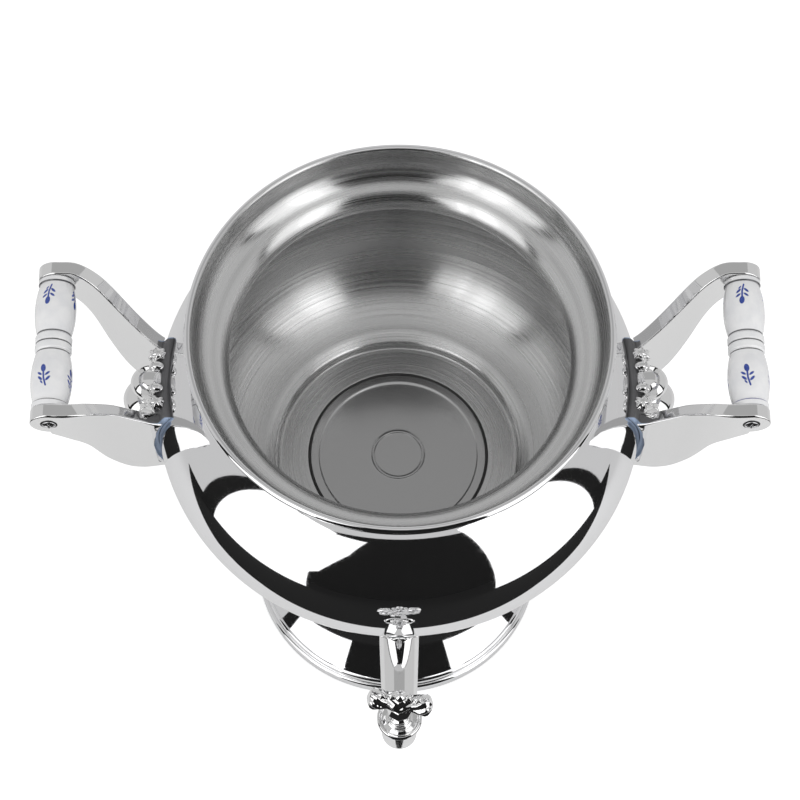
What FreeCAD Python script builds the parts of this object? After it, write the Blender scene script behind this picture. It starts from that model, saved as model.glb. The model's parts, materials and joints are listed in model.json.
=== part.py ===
import FreeCAD, Part
import math
import os
import re
import Sketcher

# An electric samovar without its lid: a spun steel vessel on a waisted foot, a tap with a turning key
# at the front (-Y) and two porcelain grips at the sides. Z is up, from the surface that it stands on.

Vector = FreeCAD.Vector
doc = FreeCAD.newDocument("samovar")

# Driving dimensions, in millimetres, and counts.
SIZES = {
    # vessel, from the rolled lip to the floor
    "rim_height": 287, "rim_radius": 97.5, "lip_roll": 1.7, "wall": 1.0,
    "seat_radius": 93.3, "seat_depth": 10.6, "neck_radius": 84.8, "neck_depth": 19.0,
    "throat_radius": 78.3, "throat_depth": 25.2, "throat_length": 2.56, "throat_bend": 3.2,
    "belly_radius": 115.2, "belly_drop": 74.7, "bead_height": 4.24,
    "bead_radius": 65.8, "bead_width": 5.6, "bead_bend": 4.4, "bead_fall": 2.4,
    "floor_drop": 138.0, "floor_radius": 59.0, "seat_gap": 0.1, "hole_slack": 0.3,
    # heater under the floor
    "plate_radius": 43.6, "plate_thickness": 1.2, "seam_width": 1.2, "seal_flange": 4.5,
    "dish_radius": 39.0, "dish_depth": 0.4, "boss_radius": 12.5, "boss_width": 1.6, "boss_height": 0.5,
    "spreader_radius": 38.0, "spreader_height": 5.0,
    "element_radius": 26.0, "element_tube": 3.2, "element_leg": 14.0, "element_gap": 60,
    "thermostat_radius": 13.0, "thermostat_height": 9.0, "cutout_radius": 2.6, "cutout_height": 6.0,
    "cutout_place": 18.0, "clamp_inner": 30.5, "clamp_outer": 58.0, "clamp_thickness": 2.0,
    "stud_circle": 51.5, "stud_radius": 2.0, "stud_length": 12.0, "nut_flats": 7.0, "nut_height": 3.2,
    # pedestal, foot and base
    "foot_radius": 76.5, "foot_lift": 3.2, "band_height": 4.4, "ring_height": 9.3, "ring_step": 2.0,
    "ring_lip": 4.2, "ring_flange": 7.5, "base_lift": 1.0, "base_thickness": 2.0, "base_gap": 0.3,
    "waist_radius": 43.0, "waist_height": 80.0, "waist_length": 12.0, "collar_radius": 72.5,
    "collar_width": 2.5, "collar_soft": 1.15, "foot_bend": 92.0, "upper_bend": 76.0,
    "pad_radius": 7.5, "pad_circle": 56.0, "tie_circle": 35.0,
    "inlet_width": 27.0, "inlet_height": 20.0, "inlet_depth": 25.0, "inlet_level": 30.0,
    "inlet_face": 67.0, "inlet_wall": 4.0, "socket_depth": 17.0, "pin_radius": 1.2, "pin_pitch": 6.0,
    "pin_length": 12.0, "block_width": 34.0, "block_depth": 12.0, "block_height": 10.0,
    "block_place": 17.0, "lead_radius": 1.2, "lead_bend": 7.0,
    # tap
    "tap_height": 173.0, "tap_reach": 148.0, "tube_root": 9.2, "tube_end": 7.9, "tube_stand": 11.5,
    "shank_radius": 5.0, "shank_bore": 3.0, "shank_inside": 20.5, "tap_nut_flats": 15.0,
    "tap_nut_height": 5.0, "tap_washer_radius": 8.2, "tap_washer_depth": 12.5,
    "rosette_radius": 12.4, "petal_radius": 3.0, "petals": 10, "tap_gasket": 1.5,
    "housing_radius": 9.3, "housing_rise": 8.4, "housing_fall": 13.0, "spout_radius": 6.6,
    "spout_fall": 20.0, "spout_bore": 4.2, "plug_radius": 6.2, "plug_fall": 10.0, "turn_gap": 0.08,
    "bonnet_radius": 10.5, "bonnet_height": 3.2, "bonnet_rim": 1.2, "stem_radius": 2.4,
    "key_width": 30.0, "key_foot": 11.9, "key_rise": 48.0, "key_thickness": 5.0, "key_ring": 5.0,
    "key_turn": 8.0, "lobe_radius": 5.4,
    # handles
    "grip_drop": 15.8, "grip_stand": 42.3, "grip_length": 65.0,
    "grip_end": 8.2, "rod_radius": 2.5, "arm_thickness": 6.0, "eye_radius": 8.6,
    "arm_root": 17.4, "root_width": 24.0, "handle_gasket": 2.0, "gasket_width": 39.0,
    "handle_top": 41.0, "handle_foot": 100.0, "bolt_spread": 22.0, "bolt_radius": 2.5,
    "bolt_reach": 7.8, "bolt_inner": 10.2, "bolt_nut_radius": 5.0, "bolt_nut_height": 6.0,
    "screw_head": 4.2, "screw_cap": 2.0, "screw_radius": 1.5, "screw_depth": 9.5, "screw_recess": 1.5,
}

sheet = doc.addObject("Spreadsheet::Sheet", "dims")
for row, (name, size) in enumerate(SIZES.items(), start=1):
    sheet.set("A" + str(row), name)
    sheet.set("B" + str(row), str(size))
    sheet.setAlias("B" + str(row), name)
doc.recompute()


def read(name):
    """The sheet's number under this alias."""
    return float(sheet.get(name))


def value(expression):
    """The number that an expression of the sheet's cells gives."""
    return float(sheet.evalExpression(expression))


def dims(text):
    """An expression in which every name of the sheet is bound to its cell."""
    return re.sub("[a-z_]+", lambda word: "dims." * (word.group() in SIZES) + word.group(), text)


parts = {}


def keep(piece, label):
    """Registers a finished sub-part under the name of its file."""
    piece.Label = label
    parts[label] = piece
    return piece


def feature(label, shape, place=None):
    """A sub-part whose shape is worked out here from the sheet's numbers."""
    piece = doc.addObject("Part::Feature", label)
    piece.Shape = shape
    if place:
        piece.Placement = place
    return keep(piece, label)


def arc_between(first, last, radius):
    """The short arc between two points, counter-clockwise where the radius is positive."""
    chord = last.sub(first)
    inset = math.sqrt(max(radius * radius - chord.Length ** 2 / 4, 0))
    side = Vector(-chord.y, chord.x, 0).normalize() * math.copysign(inset, radius)
    centre = (first + last) * 0.5 + side
    start, end = (first, last) if radius > 0 else (last, first)
    angles = [math.atan2(point.y - centre.y, point.x - centre.x) for point in (start, end)]
    circle = Part.Circle(centre, Vector(0, 0, 1), abs(radius))
    return Part.ArcOfCircle(circle, angles[0], angles[1])


def turned(name, outline):
    """A body turned about Z from (radius, height) corners, each bound to the sheet.
    A third entry is the radius of the arc to the next corner, negative where it turns clockwise."""
    body = doc.addObject("PartDesign::Body", name)
    sketch = body.newObject("Sketcher::SketchObject", name + "_outline")
    plane = [one for one in body.Origin.OriginFeatures if one.Role == "XZ_Plane"][0]
    sketch.AttachmentSupport = [(plane, "")]
    sketch.MapMode = "FlatFace"
    corners = [[dims(str(part)) for part in corner] for corner in outline]
    places = [Vector(value(corner[0]), value(corner[1]), 0) for corner in corners]
    count = len(corners)
    for index, corner in enumerate(corners):
        start, end = places[index], places[(index + 1) % count]
        if len(corner) > 2:
            sketch.addGeometry(arc_between(start, end, value(corner[2])), False)
        else:
            sketch.addGeometry(Part.LineSegment(start, end), False)
    ends = [(2, 1) if len(corner) > 2 and value(corner[2]) < 0 else (1, 2) for corner in corners]
    for index, corner in enumerate(corners):
        following = (index + 1) % count
        sketch.addConstraint(
            Sketcher.Constraint("Coincident", index, ends[index][1], following, ends[following][0]))
        bind_corner(sketch, index, ends[index][0], corner, places[index])
        if len(corner) > 2:
            number = sketch.addConstraint(Sketcher.Constraint("Radius", index, abs(value(corner[2]))))
            sketch.setExpression("Constraints[" + str(number) + "]", "abs(" + corner[2] + ")")
    turn = body.newObject("PartDesign::Revolution", name + "_turn")
    turn.Profile = sketch
    turn.ReferenceAxis = (sketch, ["V_Axis"])
    turn.Angle = 360
    sketch.Visibility = False
    return body


def bind_corner(sketch, index, end, corner, place):
    """Ties one corner of an outline to the sheet, or to the axis that it lies on."""
    for kind, number, axis, expression in (("DistanceX", place.x, -2, corner[0]),
                                           ("DistanceY", place.y, -1, corner[1])):
        if abs(number) < 1e-9:
            sketch.addConstraint(Sketcher.Constraint("PointOnObject", index, end, axis))
            continue
        made = sketch.addConstraint(Sketcher.Constraint(kind, -1, 1, index, end, number))
        sketch.setExpression("Constraints[" + str(made) + "]", expression)


def rod(name, radius, height, x="0", y="0", base="0", lay=None):
    """A cylinder with its sizes and its place bound to the sheet; lay tips it along another axis."""
    piece = doc.addObject("Part::Cylinder", name)
    piece.setExpression("Radius", dims(radius))
    piece.setExpression("Height", dims(height))
    place_at(piece, x, y, base)
    if lay:
        piece.Placement = FreeCAD.Placement(piece.Placement.Base, lay)
        place_at(piece, x, y, base)
    return piece


def block(name, length, width, height, x, y, base):
    """A box with its sizes and its low corner bound to the sheet."""
    piece = doc.addObject("Part::Box", name)
    for field, expression in (("Length", length), ("Width", width), ("Height", height)):
        piece.setExpression(field, dims(expression))
    place_at(piece, x, y, base)
    return piece


def place_at(piece, x, y, base):
    """Binds a piece's place to the sheet."""
    for letter, expression in (("x", x), ("y", y), ("z", base)):
        piece.setExpression("Placement.Base." + letter, dims(expression))


def cut(name, base, tool):
    """The first piece less the second."""
    piece = doc.addObject("Part::Cut", name)
    piece.Base = base
    piece.Tool = tool
    return piece


def fuse(name, pieces):
    """Several pieces as one object; pieces that don't touch stay separate solids."""
    piece = doc.addObject("Part::MultiFuse", name)
    piece.Shapes = pieces
    return piece


def ring_of(name, make, count, circle, first=0.0):
    """Copies of a piece at equal steps round the main axis."""
    copies = []
    for index in range(count):
        angle = str(first + 360.0 / count * index)
        copies.append(make(name + "_" + str(index + 1), circle + " * cos(" + angle + " deg)",
                           circle + " * sin(" + angle + " deg)"))
    return copies


# Turns that lay an upright cylinder along the four sides.
ALONG_FRONT = FreeCAD.Rotation(Vector(1, 0, 0), 90)
ALONG_BACK = FreeCAD.Rotation(Vector(1, 0, 0), -90)
ALONG_RIGHT = FreeCAD.Rotation(Vector(0, 1, 0), 90)
ALONG_LEFT = FreeCAD.Rotation(Vector(0, 1, 0), -90)

# Levels and radii that several pieces share, as expressions of the sheet.
BELLY_LEVEL = "(rim_height - belly_drop)"
THROAT_CORNER = "(throat_radius + throat_bend)"
SHOULDER_RISE = "(belly_drop - throat_depth - throat_length - throat_bend)"
SHOULDER_REACH = "(belly_radius - wall - throat_radius - throat_bend)"
SHOULDER_BEND = "(wall + (" + SHOULDER_REACH + "^2 + " + SHOULDER_RISE + "^2) / (2 * " + SHOULDER_REACH + "))"
BELLY_FALL = "(floor_drop - belly_drop - bead_height)"
BELLY_REACH = "(belly_radius - bead_radius)"
BELLY_BEND = "((" + BELLY_REACH + "^2 + " + BELLY_FALL + "^2) / (2 * " + BELLY_REACH + "))"
SHOULDER_CENTRE = "(belly_radius - " + SHOULDER_BEND + ")"
BELLY_CENTRE = "(belly_radius - " + BELLY_BEND + ")"
FLOOR_LEVEL = "(rim_height - floor_drop)"
FLOOR_UNDER = "(rim_height - floor_drop - wall)"
PLATE_UNDER = "(rim_height - floor_drop - plate_thickness)"
SPREADER_UNDER = "(rim_height - floor_drop - plate_thickness - spreader_height)"
OPENING = "(plate_radius + seam_width)"
CLAMP_UNDER = "(rim_height - floor_drop - plate_thickness - spreader_height - clamp_thickness)"
BASE_UNDER = "(foot_lift + base_lift)"
BASE_TOP = "(foot_lift + base_lift + base_thickness)"
RING_TOP = "(foot_lift + ring_height)"


def under_belly(radius, bend):
    """The height of the belly's lower wall at a radius, for the arc of this bend."""
    return BELLY_LEVEL + " - sqrt(" + bend + "^2 - (" + radius + " - " + BELLY_CENTRE + ")^2)"


def over_shoulder(radius, bend):
    """The height of the shoulder's wall at a radius, for the arc of this bend."""
    return BELLY_LEVEL + " + sqrt(" + bend + "^2 - (" + radius + " - " + SHOULDER_CENTRE + ")^2)"


COLLAR_LEVEL = "(" + under_belly("(collar_radius - collar_width)", BELLY_BEND) + " - collar_soft)"
TAP_WALL = "(" + BELLY_CENTRE + " + sqrt(" + BELLY_BEND + "^2 - (tap_height - " + BELLY_LEVEL + ")^2))"
TUBE_START = "(" + TAP_WALL + " + tube_stand)"
SHANK_END = "(" + TAP_WALL + " - shank_inside)"
WASHER_FACE = "(" + TAP_WALL + " - tap_washer_depth)"


def revolved_belly(offset):
    """The solid that fills the belly, its wall moved outwards by an offset."""
    level = value(dims(BELLY_LEVEL))
    shoulder = value(dims(SHOULDER_BEND)) + offset
    lower = value(dims(BELLY_BEND)) + offset
    upper_axis = value(dims(SHOULDER_CENTRE))
    lower_axis = value(dims(BELLY_CENTRE))
    top = Vector(upper_axis, 0, level + shoulder)
    wide = Vector(read("belly_radius") + offset, 0, level)
    low = Vector(lower_axis, 0, level - lower)
    turn = math.radians(45)
    upper_mid = Vector(upper_axis + shoulder * math.cos(turn), 0, level + shoulder * math.sin(turn))
    lower_mid = Vector(lower_axis + lower * math.cos(turn), 0, level - lower * math.sin(turn))
    edges = [Part.makeLine(Vector(0, 0, top.z), top), Part.Arc(top, upper_mid, wide).toShape(),
             Part.Arc(wide, lower_mid, low).toShape(), Part.makeLine(low, Vector(0, 0, low.z)),
             Part.makeLine(Vector(0, 0, low.z), Vector(0, 0, top.z))]
    return Part.Face(Part.Wire(edges)).revolve(Vector(0, 0, 0), Vector(0, 0, 1), 360)


# The spun vessel: rolled lip, lid seat, neck, throat, belly and a stepped floor with a round opening.
vessel_outline = [
    ("rim_radius - 2 * lip_roll", "rim_height - lip_roll", "-1 * lip_roll"),
    ("rim_radius - lip_roll", "rim_height", "-1 * lip_roll"),
    ("rim_radius", "rim_height - lip_roll", "-1 * lip_roll"),
    ("rim_radius - lip_roll", "rim_height - 2 * lip_roll"),
    ("rim_radius - 2 * lip_roll + wall", "rim_height - 2 * lip_roll"),
    ("seat_radius + wall", "rim_height - seat_depth - 0.5 * wall", "-16 * wall"),
    ("neck_radius + 0.7 * wall", "rim_height - neck_depth - 0.7 * wall", "11 * wall"),
    ("throat_radius + wall", "rim_height - throat_depth - 0.3 * wall"),
    ("throat_radius + wall", over_shoulder(THROAT_CORNER, SHOULDER_BEND) + " + throat_bend - wall",
     "throat_bend - wall"),
    (THROAT_CORNER, over_shoulder(THROAT_CORNER, SHOULDER_BEND), "-1 * " + SHOULDER_BEND),
    ("belly_radius", BELLY_LEVEL, "-1 * " + BELLY_BEND),
    ("bead_radius", under_belly("bead_radius", BELLY_BEND), "bead_bend - wall"),
    ("bead_radius - bead_width + wall",
     under_belly("bead_radius", "(" + BELLY_BEND + " - wall)") + " - bead_fall - wall"),
    ("floor_radius + wall", FLOOR_UNDER),
    (OPENING, FLOOR_UNDER),
    (OPENING, FLOOR_LEVEL),
    ("floor_radius", FLOOR_LEVEL),
    ("bead_radius - bead_width", under_belly("bead_radius", "(" + BELLY_BEND + " - wall)") + " - bead_fall",
     "-1 * bead_bend"),
    ("bead_radius", under_belly("bead_radius", "(" + BELLY_BEND + " - wall)"), BELLY_BEND + " - wall"),
    ("belly_radius - wall", BELLY_LEVEL, SHOULDER_BEND + " - wall"),
    (THROAT_CORNER, over_shoulder(THROAT_CORNER, "(" + SHOULDER_BEND + " - wall)"), "-1 * throat_bend"),
    ("throat_radius", over_shoulder(THROAT_CORNER, "(" + SHOULDER_BEND + " - wall)") + " + throat_bend"),
    ("throat_radius", "rim_height - throat_depth", "-12 * wall"),
    ("neck_radius", "rim_height - neck_depth", "15 * wall"),
    ("seat_radius", "rim_height - seat_depth"),
]

spinning = turned("vessel_spinning", vessel_outline)
tap_hole = rod("tap_hole", "shank_radius + hole_slack", "shank_inside + tube_stand", "0",
               "-1 * " + SHANK_END, "tap_height", ALONG_FRONT)
holes = [tap_hole]
for side, toward in ((-1, ALONG_LEFT), (1, ALONG_RIGHT)):
    for level in (-1, 1):
        holes.append(rod("bolt_hole", "bolt_radius + hole_slack", "bolt_inner + bolt_reach",
                         str(side) + " * (belly_radius - bolt_inner)", "0",
                         BELLY_LEVEL + " + " + str(level / 2) + " * bolt_spread", toward))
keep(cut("vessel_drilled", spinning, fuse("vessel_holes", holes)), "vessel_shell")

# The heater: a polished plate with a pressed ring, sealed into the floor, and what is clamped under it.
boss_inner = "(boss_radius - 0.5 * boss_width)"
boss_outer = "(boss_radius + 0.5 * boss_width)"
dish_level = "(" + FLOOR_LEVEL + " - dish_depth)"
keep(turned("plate_turning", [
    ("0", PLATE_UNDER), ("plate_radius", PLATE_UNDER), ("plate_radius", FLOOR_LEVEL),
    ("dish_radius + 2 * dish_depth", FLOOR_LEVEL), ("dish_radius", dish_level), (boss_outer, dish_level),
    (boss_outer + " - 0.3 * boss_width", dish_level + " + boss_height"),
    (boss_inner + " + 0.3 * boss_width", dish_level + " + boss_height"),
    (boss_inner, dish_level), ("0", dish_level)]), "heater_plate")
keep(turned("seal_turning", [
    ("plate_radius", FLOOR_UNDER + " - wall"), (OPENING + " + seal_flange", FLOOR_UNDER + " - wall"),
    (OPENING + " + seal_flange", FLOOR_UNDER), (OPENING, FLOOR_UNDER), (OPENING, FLOOR_LEVEL),
    ("plate_radius", FLOOR_LEVEL)]), "heater_seal")
keep(rod("spreader", "spreader_radius", "spreader_height", base=SPREADER_UNDER), "heat_spreader")
keep(rod("thermostat_puck", "thermostat_radius", "thermostat_height",
         base=SPREADER_UNDER + " - thermostat_height"), "thermostat")
keep(rod("cutout_can", "cutout_radius", "cutout_height", y="-1 * cutout_place",
         base=SPREADER_UNDER + " - cutout_height"), "thermal_cutout")


def element_shape():
    """A tubular ring with a gap at the back, and a leg down from each end of it."""
    ring, tube, gap = read("element_radius"), read("element_tube"), read("element_gap")
    level = value(dims(SPREADER_UNDER)) - tube - read("seat_gap")
    sweep = Part.makeTorus(ring, tube, Vector(0, 0, 0), Vector(0, 0, 1), 0, 360, 360 - gap)
    sweep.rotate(Vector(0, 0, 0), Vector(0, 0, 1), 90 + gap / 2)
    solid = sweep
    for angle in (90 - gap / 2, 90 + gap / 2):
        turn = math.radians(angle)
        end = Vector(ring * math.cos(turn), ring * math.sin(turn), 0)
        leg = Part.makeCylinder(tube, read("element_leg"), end, Vector(0, 0, -1))
        solid = solid.fuse(leg).fuse(Part.makeSphere(tube, end))
    solid.translate(Vector(0, 0, level))
    return solid.removeSplitter()


feature("heating_element", element_shape())

# The clamp ring presses the heater up; studs of the vessel carry it and the tie rods hang from it.
clamp = turned("clamp_turning", [
    ("clamp_inner", CLAMP_UNDER), ("clamp_outer", CLAMP_UNDER), ("clamp_outer", SPREADER_UNDER),
    ("clamp_inner", SPREADER_UNDER)])
clamp_holes = ring_of("clamp_hole", lambda name, x, y: rod(
    name, "stud_radius", "clamp_thickness + 2", x, y, CLAMP_UNDER + " - 1"), 3, "stud_circle", 90)
keep(cut("clamp_drilled", clamp, fuse("clamp_holes", clamp_holes)), "clamp_ring")
keep(fuse("clamp_stud_set", ring_of("clamp_stud", lambda name, x, y: rod(
    name, "stud_radius", "stud_length", x, y, FLOOR_UNDER + " - stud_length"), 3, "stud_circle", 90)),
    "clamp_studs")


def nut(name, x, y, top):
    """A hexagon nut with its bore, its top face at a level."""
    hexagon = doc.addObject("Part::Prism", name + "_hexagon")
    hexagon.Polygon = 6
    hexagon.setExpression("Circumradius", dims("nut_flats / 2 / cos(30 deg)"))
    hexagon.setExpression("Height", dims("nut_height"))
    place_at(hexagon, x, y, top + " - nut_height")
    return cut(name, hexagon, rod(name + "_bore", "stud_radius", "nut_height + 2", x, y,
                                  top + " - nut_height - 1"))


keep(fuse("clamp_nut_set", ring_of("clamp_nut", lambda name, x, y: nut(name, x, y, CLAMP_UNDER),
                                   3, "stud_circle", 90)), "clamp_nuts")
keep(fuse("tie_rod_set", ring_of("tie_rod", lambda name, x, y: rod(
    name, "stud_radius", CLAMP_UNDER + " - " + BASE_UNDER + " + nut_height", x, y,
    BASE_UNDER + " - nut_height"), 3, "tie_circle", 30)), "tie_rods")
keep(fuse("tie_nut_set", ring_of("tie_nut", lambda name, x, y: nut(name, x, y, BASE_UNDER),
                                 3, "tie_circle", 30)), "tie_nuts")

# The waisted pedestal, the soft ring between it and the belly, and the stepped ring at its foot.
FOOT_EDGE = "(foot_radius - 2 * ring_step - 0.1)"
pedestal = turned("pedestal_spinning", [
    (FOOT_EDGE, RING_TOP, "-1 * foot_bend"), ("waist_radius", "waist_height"),
    ("waist_radius", "waist_height + waist_length", "-1 * upper_bend"),
    ("collar_radius", COLLAR_LEVEL + " - wall"), ("collar_radius", COLLAR_LEVEL),
    ("collar_radius - collar_width", COLLAR_LEVEL, "upper_bend + wall"),
    ("waist_radius - wall", "waist_height + waist_length"),
    ("waist_radius - wall", "waist_height", "foot_bend + wall"),
    (FOOT_EDGE + " - 1.3 * wall", RING_TOP)])
INLET_BACK = "(inlet_face - inlet_depth)"
inlet_hole = block("inlet_hole", "inlet_width", "inlet_depth + 10", "inlet_height", "-0.5 * inlet_width",
                   INLET_BACK, "inlet_level - 0.5 * inlet_height")
keep(cut("pedestal_cut", pedestal, inlet_hole), "pedestal")
keep(turned("collar_gasket_turning", [
    ("collar_radius - collar_width", COLLAR_LEVEL), ("collar_radius", COLLAR_LEVEL),
    ("collar_radius", under_belly("collar_radius", BELLY_BEND) + " - seat_gap"),
    ("collar_radius - collar_width",
     under_belly("(collar_radius - collar_width)", BELLY_BEND) + " - seat_gap")]), "collar_gasket")
FLANGE_EDGE = "(foot_radius - ring_lip - ring_flange)"
keep(turned("foot_ring_turning", [
    ("foot_radius", "foot_lift"), ("foot_radius", "foot_lift + band_height", "ring_step"),
    ("foot_radius - ring_step", "foot_lift + band_height + 0.9 * ring_step"),
    ("foot_radius - ring_step", RING_TOP + " - 1.2 * ring_step", "1.3 * ring_step"),
    (FOOT_EDGE + " + 0.3 * ring_step", RING_TOP), (FOOT_EDGE + " - ring_step", RING_TOP),
    (FOOT_EDGE + " - ring_step", BASE_TOP + " + base_thickness"),
    (FLANGE_EDGE, BASE_TOP + " + base_thickness"), (FLANGE_EDGE, BASE_TOP),
    ("foot_radius - ring_lip", BASE_TOP), ("foot_radius - ring_lip", "foot_lift")]), "foot_ring")
base_disc = rod("base_disc", "foot_radius - ring_lip - base_gap", "base_thickness", base=BASE_UNDER)
base_holes = ring_of("base_hole", lambda name, x, y: rod(
    name, "stud_radius", "base_thickness + 2", x, y, BASE_UNDER + " - 1"), 3, "tie_circle", 30)
keep(cut("base_drilled", base_disc, fuse("base_holes", base_holes)), "base_plate")
keep(fuse("pad_set", ring_of("pad", lambda name, x, y: rod(name, "pad_radius", BASE_UNDER, x, y, "0"),
                             4, "pad_circle", 45)), "rubber_feet")

# The mains inlet in the back of the foot, and the wiring from it to the heater.
inlet_box = block("inlet_box", "inlet_width", "inlet_depth", "inlet_height", "-0.5 * inlet_width",
                  INLET_BACK, "inlet_level - 0.5 * inlet_height")
socket_box = block("socket_box", "inlet_width - 2 * inlet_wall", "socket_depth + 5",
                   "inlet_height - 2 * inlet_wall", "-0.5 * inlet_width + inlet_wall",
                   "inlet_face - socket_depth", "inlet_level - 0.5 * inlet_height + inlet_wall")
pins = []
for index in (-1, 0, 1):
    pins.append(rod("inlet_pin", "pin_radius", "pin_length + 2", str(index) + " * pin_pitch",
                    "inlet_face - socket_depth - 2", "inlet_level", ALONG_BACK))
inlet_cut = cut("inlet_cut", inlet_box, socket_box)
keep(cut("inlet_drilled", inlet_cut, fuse("pin_holes", pins)), "power_inlet")
pin_copies = []
for index in (-1, 0, 1):
    pin_copies.append(rod("inlet_contact", "pin_radius", "pin_length + 2", str(index) + " * pin_pitch",
                          "inlet_face - socket_depth - 2", "inlet_level", ALONG_BACK))
keep(fuse("inlet_contacts", pin_copies), "inlet_pins")
keep(block("block", "block_width", "block_depth", "block_height", "-0.5 * block_width", "block_place",
           BASE_TOP), "terminal_block")


def lead_shape():
    """Three leads from the inlet's back, bent down onto the terminal block."""
    bend, start = read("lead_bend"), value(dims(INLET_BACK))
    level, end = read("inlet_level"), value(dims(BASE_TOP + " + block_height"))
    middle = read("block_place") + read("block_depth") / 2
    leads = []
    for index in (-1, 0, 1):
        x = index * read("pin_pitch")
        corner = math.sqrt(0.5) * bend
        path = Part.Wire([
            Part.makeLine(Vector(x, start, level), Vector(x, middle + bend, level)),
            Part.Arc(Vector(x, middle + bend, level),
                     Vector(x, middle + bend - corner, level - bend + corner),
                     Vector(x, middle, level - bend)).toShape(),
            Part.makeLine(Vector(x, middle, level - bend), Vector(x, middle, end))])
        circle = Part.makeCircle(read("lead_radius"), Vector(x, start, level), Vector(0, 1, 0))
        leads.append(path.makePipeShell([Part.Wire(circle)], True, False))
    return Part.makeCompound(leads)


feature("inlet_leads", lead_shape())
gap_angle = "(90 - element_gap / 2)"
heater_leads = []
for side in (-1, 1):
    heater_leads.append(rod(
        "heater_lead", "lead_radius",
        SPREADER_UNDER + " - element_tube - seat_gap - element_leg - " + BASE_TOP + " - block_height",
        str(side) + " * element_radius * cos(" + gap_angle + " * 1 deg)",
        "element_radius * sin(" + gap_angle + " * 1 deg)", BASE_TOP + " + block_height"))
keep(fuse("heater_lead_set", heater_leads), "heater_leads")

# The tap: a cast tube with a shank through the wall, a plug chamber and a spout.
TAP_Y = "-1 * tap_reach"
tube = doc.addObject("Part::Cone", "tap_tube")
tube.setExpression("Radius1", dims("tube_root"))
tube.setExpression("Radius2", dims("tube_end"))
tube.setExpression("Height", dims("tap_reach - " + TUBE_START))
tube.Placement = FreeCAD.Placement(Vector(), ALONG_FRONT)
place_at(tube, "0", "-1 * " + TUBE_START, "tap_height")
shank = rod("tap_shank", "shank_radius", "tube_stand + shank_inside + 1", "0", "-1 * " + SHANK_END,
            "tap_height", ALONG_FRONT)
housing = rod("tap_housing", "housing_radius", "housing_rise + housing_fall", "0", TAP_Y,
              "tap_height - housing_fall")
spout = doc.addObject("Part::Cone", "tap_spout")
spout.setExpression("Radius1", dims("spout_radius"))
spout.setExpression("Radius2", dims("housing_radius - 1.2"))
spout.setExpression("Height", dims("spout_fall - housing_fall"))
place_at(spout, "0", TAP_Y, "tap_height - spout_fall")
casting = fuse("tap_casting", [tube, shank, housing, spout])
waterway = rod("tap_waterway", "shank_bore", "tap_reach - " + SHANK_END + " + 1", "0",
               "1 - " + SHANK_END, "tap_height", ALONG_FRONT)
chamber = rod("tap_chamber", "plug_radius + turn_gap", "plug_fall + housing_rise + 1", "0", TAP_Y,
              "tap_height - plug_fall")
spout_way = rod("tap_spout_way", "spout_bore", "spout_fall", "0", TAP_Y, "tap_height - spout_fall - 1")
keep(cut("tap_cast", casting, fuse("tap_ways", [waterway, chamber, spout_way])), "tap_body")

# The turning plug: hollow below, with a side port that meets the waterway after a quarter turn.
plug_blank = rod("plug_blank", "plug_radius", "plug_fall + housing_rise - 2 * turn_gap", "0", TAP_Y,
                 "tap_height - plug_fall + turn_gap")
stem = rod("plug_stem", "stem_radius", "key_rise - 2.6 * lobe_radius - housing_rise - 1", "0", TAP_Y,
           "tap_height + housing_rise - 0.5")
plug_way = rod("plug_way", "spout_bore", "plug_fall + shank_bore", "0", TAP_Y, "tap_height - plug_fall - 1")
plug_port = rod("plug_port", "shank_bore", "plug_radius + 2", "0", TAP_Y, "tap_height", ALONG_RIGHT)
keep(cut("plug_cut", fuse("plug_solid", [plug_blank, stem]), fuse("plug_ways", [plug_way, plug_port])),
     "tap_plug")
HOUSING_TOP = "(tap_height + housing_rise)"
bonnet = turned("bonnet_turning", [
    ("stem_radius + 2 * turn_gap", "0"), ("bonnet_radius - 0.6", "0"), ("bonnet_radius", "0.6"),
    ("bonnet_radius", "bonnet_height - 0.5 * bonnet_rim", "0.5 * bonnet_rim + 0.01"),
    ("bonnet_radius - bonnet_rim", "bonnet_height - 0.5 * bonnet_rim"),
    ("bonnet_radius - bonnet_rim - 0.6", "bonnet_height - 0.5 * bonnet_rim - 0.9"),
    ("0.55 * bonnet_radius", "bonnet_height - 0.5 * bonnet_rim - 1.2"),
    ("0.5 * bonnet_radius", "bonnet_height"), ("stem_radius + 2 * turn_gap", "bonnet_height")])
place_at(bonnet, "0", TAP_Y, HOUSING_TOP)
keep(bonnet, "tap_bonnet")


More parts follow.
